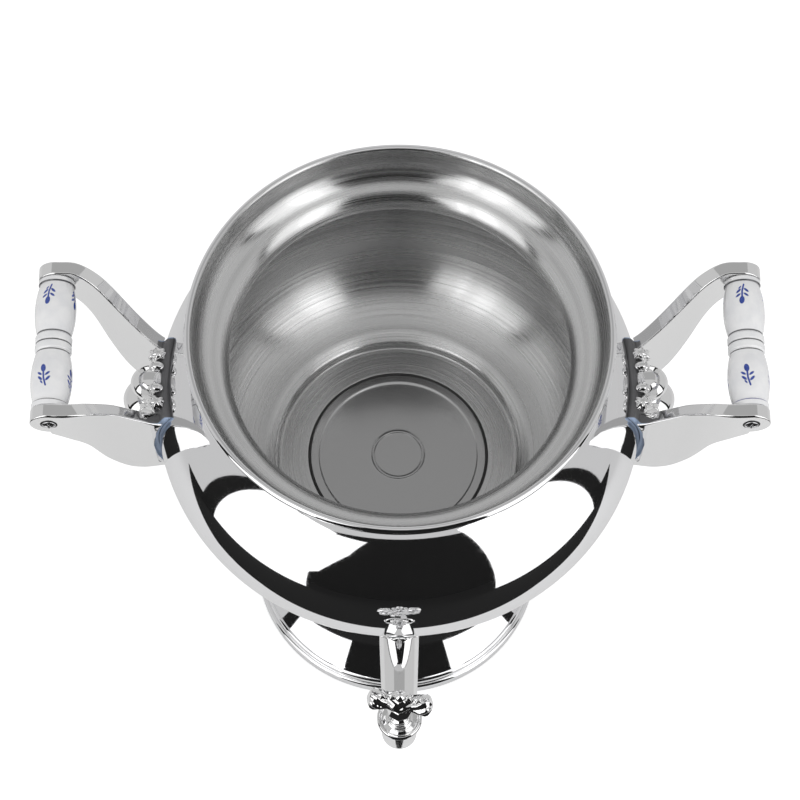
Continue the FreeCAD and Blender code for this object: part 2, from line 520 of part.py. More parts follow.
def key_shape():
    """The key: a ring, a stem with eight flats that widens upwards, and a leafy cross-piece."""
    thick, rise, lobe = read("key_thickness"), read("key_rise"), read("lobe_radius")
    foot, half, ring = read("key_foot"), read("key_width") / 2, read("key_ring")
    grip = rise - 2.6 * lobe
    shape = Part.makeCylinder(ring, 2.4, Vector(0, 0, foot))
    rings = []
    for radius, level in ((0.62 * ring, foot + 2.4), (0.95 * ring, foot + 8), (1.15 * ring, grip - 9),
                          (0.8 * ring, grip - 4)):
        corners = [Vector(radius * math.cos(math.radians(45 * turn + 22.5)),
                          radius * math.sin(math.radians(45 * turn + 22.5)), level) for turn in range(9)]
        rings.append(Part.makePolygon(corners))
    pieces = [Part.makeLoft(rings, True, True),
              Part.makeBox(2 * half - 1.3 * lobe, thick, 1.3 * lobe,
                           Vector(0.65 * lobe - half, -thick / 2, grip - lobe + 0.7)),
              Part.makeCylinder(1.15 * lobe, thick + 1, Vector(0, -thick / 2 - 0.5, grip + 0.2 * lobe),
                                Vector(0, 1, 0))]
    for side in (-1, 1):
        pieces.append(Part.makeSphere(lobe, Vector(side * (half - lobe), 0, grip)))
        pieces.append(Part.makeSphere(0.5 * lobe, Vector(side * 0.45 * half, 0, grip + 0.9 * lobe)))
        pieces.append(Part.makeCylinder(0.62 * lobe, thick - 0.6,
                                        Vector(side * 0.36 * half, 0.3 - thick / 2, grip - 0.9 * lobe),
                                        Vector(0, 1, 0)))
    shape = shape.multiFuse(pieces)
    bore = Part.makeCylinder(read("stem_radius"), grip - foot, Vector(0, 0, foot - 1))
    return shape.cut(bore).removeSplitter()


tap_place = Vector(0, -read("tap_reach"), read("tap_height"))
turned_key = FreeCAD.Placement(tap_place, FreeCAD.Rotation(Vector(0, 0, 1), -read("key_turn")))
feature("tap_key", key_shape(), turned_key)
key_top = read("key_rise") - 2.6 * read("lobe_radius") + 1.35 * read("lobe_radius")
finial = Part.makeSphere(2.6, Vector(0, 0, key_top + 1.6)).cut(
    Part.makeBox(9, 9, 9, Vector(-4.5, -4.5, key_top - 9 + 0.02)))
feature("key_finial", finial, turned_key)


def along_front(radius, near, far):
    """A cylinder that lies along -Y at the tap's height, between two distances from the main axis."""
    return Part.makeCylinder(radius, far - near, Vector(0, -near, read("tap_height")), Vector(0, -1, 0))


inner, face = value(dims(SHANK_END)), value(dims(TUBE_START))


def rosette_shape():
    """A wedge between the sloping wall and the tube, with a rim of petals round its face."""
    radius, petal = read("rosette_radius"), read("petal_radius")
    shape = along_front(radius - 0.7 * petal, inner, face - 1)
    shape = shape.fuse(along_front(radius - 2.1 * petal, face - 3, face))
    for index in range(int(read("petals"))):
        turn = 2 * math.pi * index / read("petals")
        reach = radius - 0.9 * petal
        front = Vector(reach * math.cos(turn), -face, read("tap_height") + reach * math.sin(turn))
        shape = shape.fuse(Part.makeCone(0.6 * petal, 0.9 * petal, 3, front, Vector(0, 1, 0)))
    wall = revolved_belly(read("tap_gasket") + 2 * read("seat_gap"))
    return shape.cut(wall).cut(along_front(read("shank_radius"), inner, face + 1))


feature("tap_rosette", rosette_shape())
outer_gasket = along_front(read("rosette_radius") - 1.5, inner, face).common(
    revolved_belly(read("tap_gasket") + read("seat_gap")).cut(revolved_belly(read("seat_gap"))))
feature("tap_gasket", outer_gasket.cut(along_front(read("shank_radius"), inner, face)))
washer_face = value(dims(WASHER_FACE))
washer = along_front(read("tap_washer_radius"), washer_face, face).common(
    revolved_belly(-read("wall") - read("seat_gap")))
feature("tap_wedge_washer", washer.cut(along_front(read("shank_radius"), inner, face)))


def tap_nut_shape():
    """A hexagon nut on the shank, against the wedge washer inside the vessel."""
    reach = read("tap_nut_flats") / 2 / math.cos(math.radians(30))
    corners = [Vector(reach * math.cos(math.radians(60 * turn)), -washer_face,
                      read("tap_height") + reach * math.sin(math.radians(60 * turn))) for turn in range(7)]
    prism = Part.Face(Part.makePolygon(corners)).extrude(Vector(0, read("tap_nut_height"), 0))
    return prism.cut(along_front(read("shank_radius"), inner, face))


feature("tap_nut", tap_nut_shape())


# The handles: side +1 is the right one and side -1 its mirror image.
GRIP_PLACE = "(belly_radius + grip_stand)"


def smooth(points):
    """A smooth edge through points."""
    curve = Part.BSplineCurve()
    curve.interpolate(points)
    return curve.toShape()


def handle_side():
    """The bracket's outline seen from the front, from the eye that holds the grip to the body."""
    rim, eye, centre = read("rim_height"), read("eye_radius"), value(dims(GRIP_PLACE))
    level = rim - read("grip_drop")
    near = read("belly_radius") - 25
    top, foot = rim - read("handle_top"), rim - read("handle_foot")
    upper = [Vector(centre, 0, level + eye), Vector(centre - 10, 0, level + eye - 0.4),
             Vector(centre - 18, 0, level + eye - 3.2), Vector(centre - 26, 0, level + eye - 9.5),
             Vector(centre - 35, 0, top + 12), Vector(centre - 43, 0, top + 2.5), Vector(near, 0, top)]
    lower = [Vector(near, 0, foot), Vector(centre - 42, 0, foot + 4), Vector(centre - 34, 0, foot + 10),
             Vector(centre - 27, 0, foot + 21), Vector(centre - 21, 0, foot + 37),
             Vector(centre - 14, 0, level - eye - 15), Vector(centre - 7, 0, level - eye - 4.5),
             Vector(centre, 0, level - eye)]
    bow = Part.Arc(lower[-1], Vector(centre + eye, 0, level), upper[0]).toShape()
    wire = Part.Wire([smooth(upper), Part.makeLine(upper[-1], lower[0]), smooth(lower), bow])
    return Part.Face(wire)


def arm_plan(side_y):
    """The plan of one arm: it leaves the body and sweeps out to lie square to the grip."""
    thick, half, centre = read("arm_thickness"), read("grip_length") / 2, value(dims(GRIP_PLACE))
    root, belly = read("arm_root"), read("belly_radius")
    far = centre + read("eye_radius") + 2
    outer = [Vector(belly - 25, root - 4, 0), Vector(belly - 9, root, 0), Vector(centre - 30, root + 8.6, 0),
             Vector(centre - 17, half + thick - 4.4, 0), Vector(centre - 8, half + thick - 0.5, 0),
             Vector(centre, half + thick, 0)]
    flat = centre - read("eye_radius") - 0.6
    inner = [Vector(flat, half, 0), Vector(flat - 7.5, half - 5.2, 0), Vector(centre - 29, root + 2, 0),
             Vector(belly - 7, root - thick - 0.4, 0), Vector(belly - 25, root - 4 - thick, 0)]
    edges = [smooth(outer), Part.makeLine(outer[-1], Vector(far, half + thick, 0)),
             Part.makeLine(Vector(far, half + thick, 0), Vector(far, half, 0)),
             Part.makeLine(Vector(far, half, 0), inner[0]), smooth(inner),
             Part.makeLine(inner[-1], outer[0])]
    solid = Part.Face(Part.Wire(edges)).extrude(Vector(0, 0, read("rim_height")))
    return solid if side_y > 0 else solid.mirror(Vector(0, 0, 0), Vector(0, 1, 0))


def handle_shape():
    """One casting: two plate arms, the ornamental root between them and the seat on the belly."""
    outline = handle_side()
    width = read("grip_length") + 4 * read("arm_thickness")
    outline.translate(Vector(0, -width / 2, 0))
    slab = outline.extrude(Vector(0, width, 0))
    arms = [slab.common(arm_plan(side_y)) for side_y in (-1, 1)]
    half = read("root_width") / 2
    belly = value(dims(BELLY_LEVEL))
    foot = read("rim_height") - read("handle_foot")
    wide = read("belly_radius")
    core = Part.makeBox(30, 2 * half, read("handle_foot") - read("handle_top") - 6,
                        Vector(wide - 25, -half, foot + 3))
    shape = arms[0].fuse(arms[1]).fuse(core)
    for reach, level, radius in ((wide - 2.2, belly + 19, 9), (wide + 1.8, belly + 1, 10),
                                 (wide - 1.7, belly - 15, 8)):
        roll = Part.makeCylinder(radius, 2 * half, Vector(reach, -half, level), Vector(0, 1, 0))
        shape = shape.fuse(roll)
    shape = shape.cut(revolved_belly(read("handle_gasket") + 2 * read("seat_gap")))
    for side_y in (-1, 1):
        eye = Part.makeCylinder(read("rod_radius"), 3 * read("arm_thickness"), eye_centre(side_y, 0),
                                Vector(0, side_y, 0))
        recess = Part.makeCylinder(read("screw_head") + 0.2, 10,
                                   eye_centre(side_y, read("arm_thickness") - read("screw_recess")),
                                   Vector(0, side_y, 0))
        shape = shape.cut(eye).cut(recess)
    return shape.cut(handle_bolts()).removeSplitter()


def eye_centre(side_y, past):
    """A point on the grip's axis, so far beyond the grip's end."""
    return Vector(value(dims(GRIP_PLACE)), side_y * (read("grip_length") / 2 + past),
                  read("rim_height") - read("grip_drop"))


def handle_bolts():
    """Two studs that run from inside the vessel into the casting."""
    studs = []
    for up in (-0.5, 0.5):
        start = Vector(read("belly_radius") - read("bolt_inner"), 0,
                       value(dims(BELLY_LEVEL)) + up * read("bolt_spread"))
        studs.append(Part.makeCylinder(read("bolt_radius"), read("bolt_reach") + read("bolt_inner"),
                                       start, Vector(1, 0, 0)))
    return Part.makeCompound(studs)


def bolt_nuts():
    """Domed nuts inside the vessel, their faces against the wall."""
    radius, height = read("bolt_nut_radius"), read("bolt_nut_height")
    level, spread = value(dims(BELLY_LEVEL)), read("bolt_spread")
    bend = min(value(dims(BELLY_BEND)), value(dims(SHOULDER_BEND)))
    drop = bend - math.sqrt(bend ** 2 - (spread / 2 + radius) ** 2)
    seat = read("belly_radius") - read("wall") - drop - 4 * read("seat_gap")
    nuts = []
    for up in (-0.5, 0.5):
        centre = Vector(seat - height, 0, level + up * spread)
        solid = Part.makeCylinder(radius, height, centre, Vector(1, 0, 0))
        dome = Part.makeSphere(radius, centre).common(
            Part.makeBox(radius, 4 * radius, 4 * radius, centre - Vector(radius, 2 * radius, 2 * radius)))
        nuts.append(solid.fuse(dome).removeSplitter().cut(handle_bolts()))
    return Part.makeCompound(nuts)


def handle_gasket():
    """The soft seat between the casting and the belly."""
    width, margin = read("gasket_width"), 2.0
    low = read("rim_height") - read("handle_foot") - margin
    tall = read("handle_foot") - read("handle_top") + 2 * margin
    window = Part.makeBox(60, width, tall, Vector(read("belly_radius") - 35, -width / 2, low))
    skin = revolved_belly(read("handle_gasket") + read("seat_gap")).cut(revolved_belly(read("seat_gap")))
    return skin.common(window).cut(handle_bolts())


def grip_screws():
    """A cross-head screw in each end of the rod."""
    screws = []
    for side_y in (-1, 1):
        base = eye_centre(side_y, read("arm_thickness") - read("screw_recess"))
        head = Part.makeCylinder(read("screw_head"), read("screw_cap"), base, Vector(0, side_y, 0))
        shank = Part.makeCylinder(read("screw_radius"), read("screw_depth"), base, Vector(0, -side_y, 0))
        top = base + Vector(0, side_y * read("screw_cap"), 0)
        slot = 0.45 * read("screw_head")
        for along in (Vector(slot, 0.6, 0.6), Vector(0.6, 0.6, slot)):
            corner = top - Vector(along.x, along.y, along.z)
            head = head.cut(Part.makeBox(2 * along.x, 1.2, 2 * along.z, corner))
        screws.append(head.fuse(shank))
    return Part.makeCompound(screws)


def grip_rod():
    """The rod through a grip, tapped at both ends."""
    reach = read("arm_thickness") - read("screw_recess")
    start, end = eye_centre(-1, reach), eye_centre(1, reach)
    solid = Part.makeCylinder(read("rod_radius"), end.y - start.y, start, Vector(0, 1, 0))
    for point, way in ((start, 1), (end, -1)):
        solid = solid.cut(
            Part.makeCylinder(read("screw_radius"), read("screw_depth"), point, Vector(0, way, 0)))
    return solid


def grip_outline():
    """Half of a porcelain grip, mirrored: a collar, a barrel bulge and the rings at the middle."""
    half = [("rod_radius + 0.3", "0"), ("grip_end", "0"), ("grip_end + 0.3", "0.036 * grip_length"),
            ("grip_end - 0.4", "0.044 * grip_length", "0.73 * grip_length"),
            ("grip_end - 0.3", "0.42 * grip_length"), ("grip_end - 0.5", "0.435 * grip_length"),
            ("grip_end + 0.2", "0.445 * grip_length"), ("grip_end + 0.2", "0.488 * grip_length"),
            ("grip_end - 0.3", "0.5 * grip_length")]
    other = []
    for index in range(len(half) - 2, -1, -1):
        bend = half[index - 1][2:] if index and len(half[index - 1]) > 2 else ()
        other.append((half[index][0], "grip_length - " + half[index][1]) + tuple(bend))
    return half + other


def sided(shape, side):
    """The shape itself on the right, its mirror image on the left."""
    return shape if side > 0 else shape.mirror(Vector(0, 0, 0), Vector(1, 0, 0))


for side, name in ((-1, "left"), (1, "right")):
    feature("handle_bracket_" + name, sided(handle_shape(), side))
    feature("handle_gasket_" + name, sided(handle_gasket(), side))
    feature("handle_studs_" + name, sided(handle_bolts(), side))
    feature("handle_nuts_" + name, sided(bolt_nuts(), side))
    feature("grip_rod_" + name, sided(grip_rod(), side))
    feature("grip_screws_" + name, sided(grip_screws(), side))
    grip = turned("grip_turning_" + name, grip_outline())
    grip.Placement = FreeCAD.Placement(Vector(), ALONG_FRONT)
    place_at(grip, str(side) + " * " + GRIP_PLACE, "0.5 * grip_length", "rim_height - grip_drop")
    keep(grip, "grip_" + name)

# Nothing is written unless every object was computed and every sub-part is a sound shape.
doc.recompute()
broken = [piece.Name for piece in doc.Objects if {"Invalid", "Error"} & set(piece.State)]
unsound = [label for label, piece in parts.items() if piece.Shape.isNull() or not piece.Shape.isValid()]
if broken or unsound:
    raise RuntimeError("not computed: " + str(broken) + ", not sound: " + str(unsound))
os.makedirs("parts", exist_ok=True)
for label, piece in parts.items():
    piece.Shape.exportStep("parts/" + label + ".step")
    print(label, len(piece.Shape.Solids), round(piece.Shape.Volume, 1))
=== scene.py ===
import json
import math

import bmesh
import bpy
import numpy as np
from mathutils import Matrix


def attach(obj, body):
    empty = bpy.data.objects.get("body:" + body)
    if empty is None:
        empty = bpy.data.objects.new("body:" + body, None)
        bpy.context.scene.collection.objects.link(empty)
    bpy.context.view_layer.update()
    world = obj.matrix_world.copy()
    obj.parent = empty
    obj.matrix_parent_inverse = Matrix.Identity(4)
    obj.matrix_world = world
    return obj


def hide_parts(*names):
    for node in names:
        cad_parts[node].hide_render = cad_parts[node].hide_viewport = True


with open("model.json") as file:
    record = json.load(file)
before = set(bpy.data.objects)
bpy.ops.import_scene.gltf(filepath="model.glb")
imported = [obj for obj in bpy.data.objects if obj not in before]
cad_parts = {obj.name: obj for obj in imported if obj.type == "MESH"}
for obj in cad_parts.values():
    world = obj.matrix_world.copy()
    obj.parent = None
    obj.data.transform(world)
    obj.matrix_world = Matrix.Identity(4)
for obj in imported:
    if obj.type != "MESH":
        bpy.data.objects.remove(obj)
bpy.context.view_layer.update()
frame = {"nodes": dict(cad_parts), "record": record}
nodes = frame["nodes"]

# The camera looks down into the mouth from the front, a long lens about 1.1 m away.
# Its axis meets the picture a little left of the middle, which the small shift gives.
camera_data = bpy.data.cameras.new("camera")
camera_data.lens = 112.5
camera_data.sensor_width = 36.0
camera_data.shift_x = 0.0241
camera = bpy.data.objects.new("camera", camera_data)
camera.location = (-0.0087, -0.5015, 1.292)
camera.rotation_euler = (math.radians(24.93), 0.0, 0.0)
bpy.context.scene.collection.objects.link(camera)
bpy.context.scene.camera = camera
bpy.context.scene.view_settings.view_transform = "Standard"

# The studio: a white world that polished metal shows as pale grey, and a white table top.
# The table is bright enough to read as white, and still keeps a soft shadow.
ROOM_LIGHT, ROOM_IN_METAL = 0.68, 0.59
TABLE_GREY, TABLE_FOR_CAMERA, TABLE_IN_METAL = 0.62, 0.66, 0.16
world = bpy.data.worlds.new("studio")
world.use_nodes = True
bpy.context.scene.world = world
tree = world.node_tree
tree.nodes.clear()
path = tree.nodes.new("ShaderNodeLightPath")
mirror_or_glass = tree.nodes.new("ShaderNodeMath")
mirror_or_glass.operation = "MAXIMUM"
tree.links.new(path.outputs["Is Glossy Ray"], mirror_or_glass.inputs[0])
tree.links.new(path.outputs["Is Transmission Ray"], mirror_or_glass.inputs[1])
seen_in_metal = tree.nodes.new("ShaderNodeMapRange")
seen_in_metal.inputs["To Min"].default_value = ROOM_LIGHT
seen_in_metal.inputs["To Max"].default_value = ROOM_IN_METAL
tree.links.new(mirror_or_glass.outputs[0], seen_in_metal.inputs["Value"])
seen_by_camera = tree.nodes.new("ShaderNodeMix")
seen_by_camera.data_type = "FLOAT"
seen_by_camera.inputs["B"].default_value = 1.0
tree.links.new(path.outputs["Is Camera Ray"], seen_by_camera.inputs["Factor"])
tree.links.new(seen_in_metal.outputs[0], seen_by_camera.inputs["A"])
background = tree.nodes.new("ShaderNodeBackground")
background.inputs["Color"].default_value = (1, 1, 1, 1)
tree.links.new(seen_by_camera.outputs[0], background.inputs["Strength"])
world_out = tree.nodes.new("ShaderNodeOutputWorld")
tree.links.new(background.outputs[0], world_out.inputs["Surface"])

table_mesh = bpy.data.meshes.new("table_top")
half = 3.0
table_mesh.from_pydata([(-half, -half, 0), (half, -half, 0), (half, half, 0), (-half, half, 0)], [],
                       [(0, 1, 2, 3)])
table = bpy.data.objects.new("table_top", table_mesh)
bpy.context.scene.collection.objects.link(table)
table_white = bpy.data.materials.new("table_white")
table_white.use_nodes = True
tree = table_white.node_tree
tree.nodes.clear()
path = tree.nodes.new("ShaderNodeLightPath")
paint = tree.nodes.new("ShaderNodeBsdfDiffuse")
paint.inputs["Color"].default_value = (TABLE_GREY, TABLE_GREY, TABLE_GREY, 1)
lift = tree.nodes.new("ShaderNodeEmission")
lift.inputs["Color"].default_value = (1, 1, 1, 1)
mirror_lift = tree.nodes.new("ShaderNodeMath")
mirror_lift.operation = "MULTIPLY"
mirror_lift.inputs[1].default_value = TABLE_IN_METAL
tree.links.new(path.outputs["Is Glossy Ray"], mirror_lift.inputs[0])
lift_strength = tree.nodes.new("ShaderNodeMath")
lift_strength.operation = "MULTIPLY_ADD"
lift_strength.inputs[1].default_value = TABLE_FOR_CAMERA
tree.links.new(path.outputs["Is Camera Ray"], lift_strength.inputs[0])
tree.links.new(mirror_lift.outputs[0], lift_strength.inputs[2])
tree.links.new(lift_strength.outputs[0], lift.inputs["Strength"])
both = tree.nodes.new("ShaderNodeAddShader")
tree.links.new(paint.outputs[0], both.inputs[0])
tree.links.new(lift.outputs[0], both.inputs[1])
table_out = tree.nodes.new("ShaderNodeOutputMaterial")
tree.links.new(both.outputs[0], table_out.inputs["Surface"])
table_mesh.materials.append(table_white)

# Two tall soft boxes stand left and right in front of the object and give its broad white reflections.
# Each shines about as bright as white paper, so that porcelain renders as its own colour.
BOX_BRIGHTNESS = 1.25
for name, place, width, tall in (("soft_box_left", (-0.56, -0.47, 0.66), 0.50, 1.30),
                                 ("soft_box_right", (0.47, -0.36, 0.66), 0.44, 1.30)):
    lamp_data = bpy.data.lights.new(name, "AREA")
    lamp_data.shape = "RECTANGLE"
    lamp_data.size = width
    lamp_data.size_y = tall
    lamp_data.energy = BOX_BRIGHTNESS * math.pi * width * tall
    lamp = bpy.data.objects.new(name, lamp_data)
    lamp.location = place
    lamp.rotation_euler = (math.radians(90), 0, math.atan2(place[0], -place[1]))
    lamp.visible_camera = False
    bpy.context.scene.collection.objects.link(lamp)

# Black cloths that only polished metal shows: one on the table's front, one between the soft boxes
# behind the camera, and a black frame round the outer edge of each soft box.
CLOTH_LEVEL = 0.0008
flag_black = bpy.data.materials.new("flag_black")
flag_black.use_nodes = True
flag_shader = flag_black.node_tree.nodes["Principled BSDF"]
flag_shader.inputs["Base Color"].default_value = (0.02, 0.02, 0.02, 1)
flag_shader.inputs["Roughness"].default_value = 1.0
flag_shader.inputs["Specular IOR Level"].default_value = 0.0
front_cloth = [(-1.3, -0.06), (-0.3, -0.14), (-0.2, -0.18), (-0.05, -0.2), (0.05, -0.2), (0.2, -0.18),
               (0.3, -0.14), (1.3, -0.06), (1.3, -2.0), (-1.3, -2.0)]
flags = {
    "cloth_front": [(x, y, CLOTH_LEVEL) for x, y in front_cloth],
    "cloth_wall": [(-0.95, -1.15, 0.0), (0.95, -1.15, 0.0), (0.95, -1.15, 2.3), (-0.95, -1.15, 2.3)],
    "frame_left": [(-0.62, -0.5, 0.0), (-0.80, -0.20, 0.0), (-0.80, -0.20, 1.45), (-0.62, -0.5, 1.45)],
    "frame_right": [(0.54, -0.40, 0.0), (0.66, -0.13, 0.0), (0.66, -0.13, 1.45), (0.54, -0.40, 1.45)],
}


def hang_for_metal(name, corners, finish):
    """A flat sheet, one face through its corners in metres, that shows in reflections alone."""
    sheet_mesh = bpy.data.meshes.new(name)
    sheet_mesh.from_pydata(corners, [], [tuple(range(len(corners)))])
    sheet_mesh.materials.append(finish)
    sheet = bpy.data.objects.new(name, sheet_mesh)
    bpy.context.scene.collection.objects.link(sheet)
    for kind in ("camera", "diffuse", "transmission", "volume_scatter", "shadow"):
        setattr(sheet, "visible_" + kind, False)


for name, corners in flags.items():
    hang_for_metal(name, corners, flag_black)

# Two cards that only metal shows: a white one widens the left soft box towards the middle as it
# rises, and a grey one is the ceiling above and behind the object.
cards = {
    "card_left": (BOX_BRIGHTNESS, [(-0.47, -0.70, 0.22), (-0.385, -0.725, 0.34), (-0.28, -0.77, 0.80),
                                   (-0.22, -0.80, 1.35), (-0.47, -0.70, 1.35)]),
    "card_ceiling": (0.4, [(-0.9, 0.12, 1.6), (0.9, 0.12, 1.6), (1.1, 1.7, 1.5), (-1.1, 1.7, 1.5)]),
}
for name, (strength, corners) in cards.items():
    card_paint = bpy.data.materials.new(name)
    card_paint.use_nodes = True
    card_shader = card_paint.node_tree.nodes["Principled BSDF"]
    card_shader.inputs["Base Color"].default_value = (0, 0, 0, 1)
    card_shader.inputs["Specular IOR Level"].default_value = 0.0
    card_shader.inputs["Emission Color"].default_value = (1, 1, 1, 1)
    card_shader.inputs["Emission Strength"].default_value = strength
    hang_for_metal(name, corners, card_paint)


# The vessel: one steel sheet spun over a form, from the rolled lip through the lid's seat, the funnel
# and the belly to the stepped floor, 1 mm thick. Outside it is polished and chromed, inside it is
# brushed round. The belly's wall bends with one radius above its widest ring and another below.
MM = 0.001
SHEET, BELLY, WIDEST, UPPER_BEND, LOWER_BEND = 1.0, 115.2, 212.3, 46.6, 60.0
BLEND_STEPS, MOST_BLEND = 6, 0.45


def outline(corners, closed, step=1.2):
    """Dense points through (r, z, soft, bend) corners in mm. A bend is the radius of the arc to the next
    corner, positive where it turns counter-clockwise: centre + radius (cos a, sin a). Each corner is
    blended over its soft length by a curve of the second degree that it pulls towards itself."""
    corners = [tuple(corner) + (0.25, 0.0)[len(corner) - 2:] for corner in corners]
    count = len(corners)
    runs = []
    for index in range(count if closed else count - 1):
        r0, z0, soft0, bend = corners[index]
        r1, z1, soft1, _ = corners[(index + 1) % count]
        start, end = np.array([r0, z0]), np.array([r1, z1])
        chord = np.linalg.norm(end - start)
        if not closed and index == 0:
            soft0 = 0.0
        if not closed and index == count - 2:
            soft1 = 0.0
        length = chord if not bend else 2 * abs(bend) * math.asin(min(chord / 2 / abs(bend), 1.0))
        steps = max(int(length / step), 1) + 1
        part = np.linspace(min(soft0 / length, MOST_BLEND), 1 - min(soft1 / length, MOST_BLEND),
                           steps + 1)[:, None]
        if bend:
            side = np.array([-(end - start)[1], (end - start)[0]]) / chord
            inset = math.sqrt(max(bend * bend - chord * chord / 4, 0.0))
            centre = (start + end) / 2 + side * math.copysign(inset, bend)
            first = math.atan2(*(start - centre)[::-1])
            sweep = math.copysign(length / abs(bend), bend)
            angle = first + part * sweep
            runs.append(centre + abs(bend) * np.hstack([np.cos(angle), np.sin(angle)]))
        else:
            runs.append(start + part * (end - start))
    points = []
    for index, run in enumerate(runs):
        points.append(run)
        if not closed and index == len(runs) - 1:
            break
        corner = np.array(corners[(index + 1) % count][:2])
        part = np.linspace(0, 1, BLEND_STEPS)[1:-1, None]
        before, after = run[-1], runs[(index + 1) % len(runs)][0]
        points.append((1 - part) ** 2 * before + 2 * part * (1 - part) * corner + part ** 2 * after)
    return np.vstack(points)


def surface(name, grid, wrap, material, body, node):
    """A mesh on a grid of points (rows, columns, 3) in mm, shown in place of a node. Rows always wrap
    round; columns wrap where asked, and otherwise the first and last one close in a pole or a cap.
    The attribute along is the length run down each row in metres: the sum of its steps so far."""
    rows, columns = grid.shape[:2]
    vertices = grid.reshape(-1, 3) * MM
    row, column = np.meshgrid(np.arange(rows), np.arange(columns if wrap else columns - 1), indexing="ij")
    next_row, next_column = (row + 1) % rows, (column + 1) % columns
    quads = np.stack([row * columns + column, next_row * columns + column,
                      next_row * columns + next_column, row * columns + next_column], -1).reshape(-1, 4)
    mesh = bpy.data.meshes.new(name)
    mesh.from_pydata(vertices.tolist(), [], quads.tolist())
    along = np.zeros((rows, columns))
    along[:, 1:] = np.cumsum(np.linalg.norm(np.diff(grid, axis=1), axis=2), axis=1) * MM
    mesh.attributes.new("along", "FLOAT", "POINT").data.foreach_set("value", along.ravel())
    shell = bmesh.new()
    shell.from_mesh(mesh)
    bmesh.ops.remove_doubles(shell, verts=shell.verts, dist=1e-7)
    open_edges = [edge for edge in shell.edges if edge.is_boundary]
    if open_edges:
        bmesh.ops.holes_fill(shell, edges=open_edges, sides=0)
    bmesh.ops.recalc_face_normals(shell, faces=shell.faces)
    shell.to_mesh(mesh)
    shell.free()
    mesh.shade_smooth()
    mesh.materials.append(material)
    piece = bpy.data.objects.new(name, mesh)
    bpy.context.scene.collection.objects.link(piece)
    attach(piece, body)
    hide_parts(node)
    return piece


def turned_grid(profile, steps):
    """Points of a profile (r, z) turned about Z: (r cos a, r sin a, z) for each angle a."""
    angle = np.linspace(0, 2 * np.pi, steps, endpoint=False)[:, None]
    r, z = profile[:, 0][None, :], profile[:, 1][None, :]
    return np.stack([r * np.cos(angle), r * np.sin(angle), np.broadcast_to(z, (steps, z.shape[1]))], -1)


def new_shader(name, colour, roughness, metallic=0.0):
    """A material with one Principled shader; returns the material, its tree and the shader."""
    material = bpy.data.materials.new(name)
    material.use_nodes = True
    shader = material.node_tree.nodes["Principled BSDF"]
    shader.inputs["Base Color"].default_value = colour + (1,)
    shader.inputs["Roughness"].default_value = roughness
    shader.inputs["Metallic"].default_value = metallic
    return material, material.node_tree, shader


def add_noise(tree, scale, stretch=(1, 1, 1), detail=3.0, vector=None):
    """A noise on Object coordinates, stretched along the axes; returns its texture node."""
    noise = tree.nodes.new("ShaderNodeTexNoise")
    noise.inputs["Scale"].default_value = scale
    noise.inputs["Detail"].default_value = detail
    if vector is None:
        vector = tree.nodes.new("ShaderNodeTexCoord").outputs["Object"]
    mapping = tree.nodes.new("ShaderNodeMapping")
    mapping.inputs["Scale"].default_value = stretch
    tree.links.new(vector, mapping.inputs["Vector"])
    tree.links.new(mapping.outputs[0], noise.inputs["Vector"])
    return noise


def spread(tree, source, low, high, target, start=0.35, end=0.65):
    """Carries a noise, between two of its values, to a socket as a number from low to high."""
    ramp = tree.nodes.new("ShaderNodeMapRange")
    ramp.inputs["From Min"].default_value = start
    ramp.inputs["From Max"].default_value = end
    ramp.inputs["To Min"].default_value = low
    ramp.inputs["To Max"].default_value = high
    tree.links.new(source, ramp.inputs["Value"])
    tree.links.new(ramp.outputs[0], target)


def add_bump(tree, shader, source, strength, depth):
    """Raises the surface by a texture, as deep as given in metres."""
    bump = tree.nodes.new("ShaderNodeBump")
    bump.inputs["Strength"].default_value = strength
    bump.inputs["Distance"].default_value = depth
    tree.links.new(source, bump.inputs["Height"])
    tree.links.new(bump.outputs[0], shader.inputs["Normal"])


def polished(name, colour, waviness, haze=0.055):
    """Bright chrome over buffed metal: nearly a mirror, with faint buffing haze and a soft waviness."""
    material, tree, shader = new_shader(name, colour, 0.04, 1.0)
    haze_noise = add_noise(tree, 900.0, (1, 1, 0.15), 2.0)
    spread(tree, haze_noise.outputs["Fac"], 0.025, haze, shader.inputs["Roughness"])
    wave = add_noise(tree, 26.0, detail=1.0)
    add_bump(tree, shader, wave.outputs["Fac"], waviness, 0.0002)
    return material


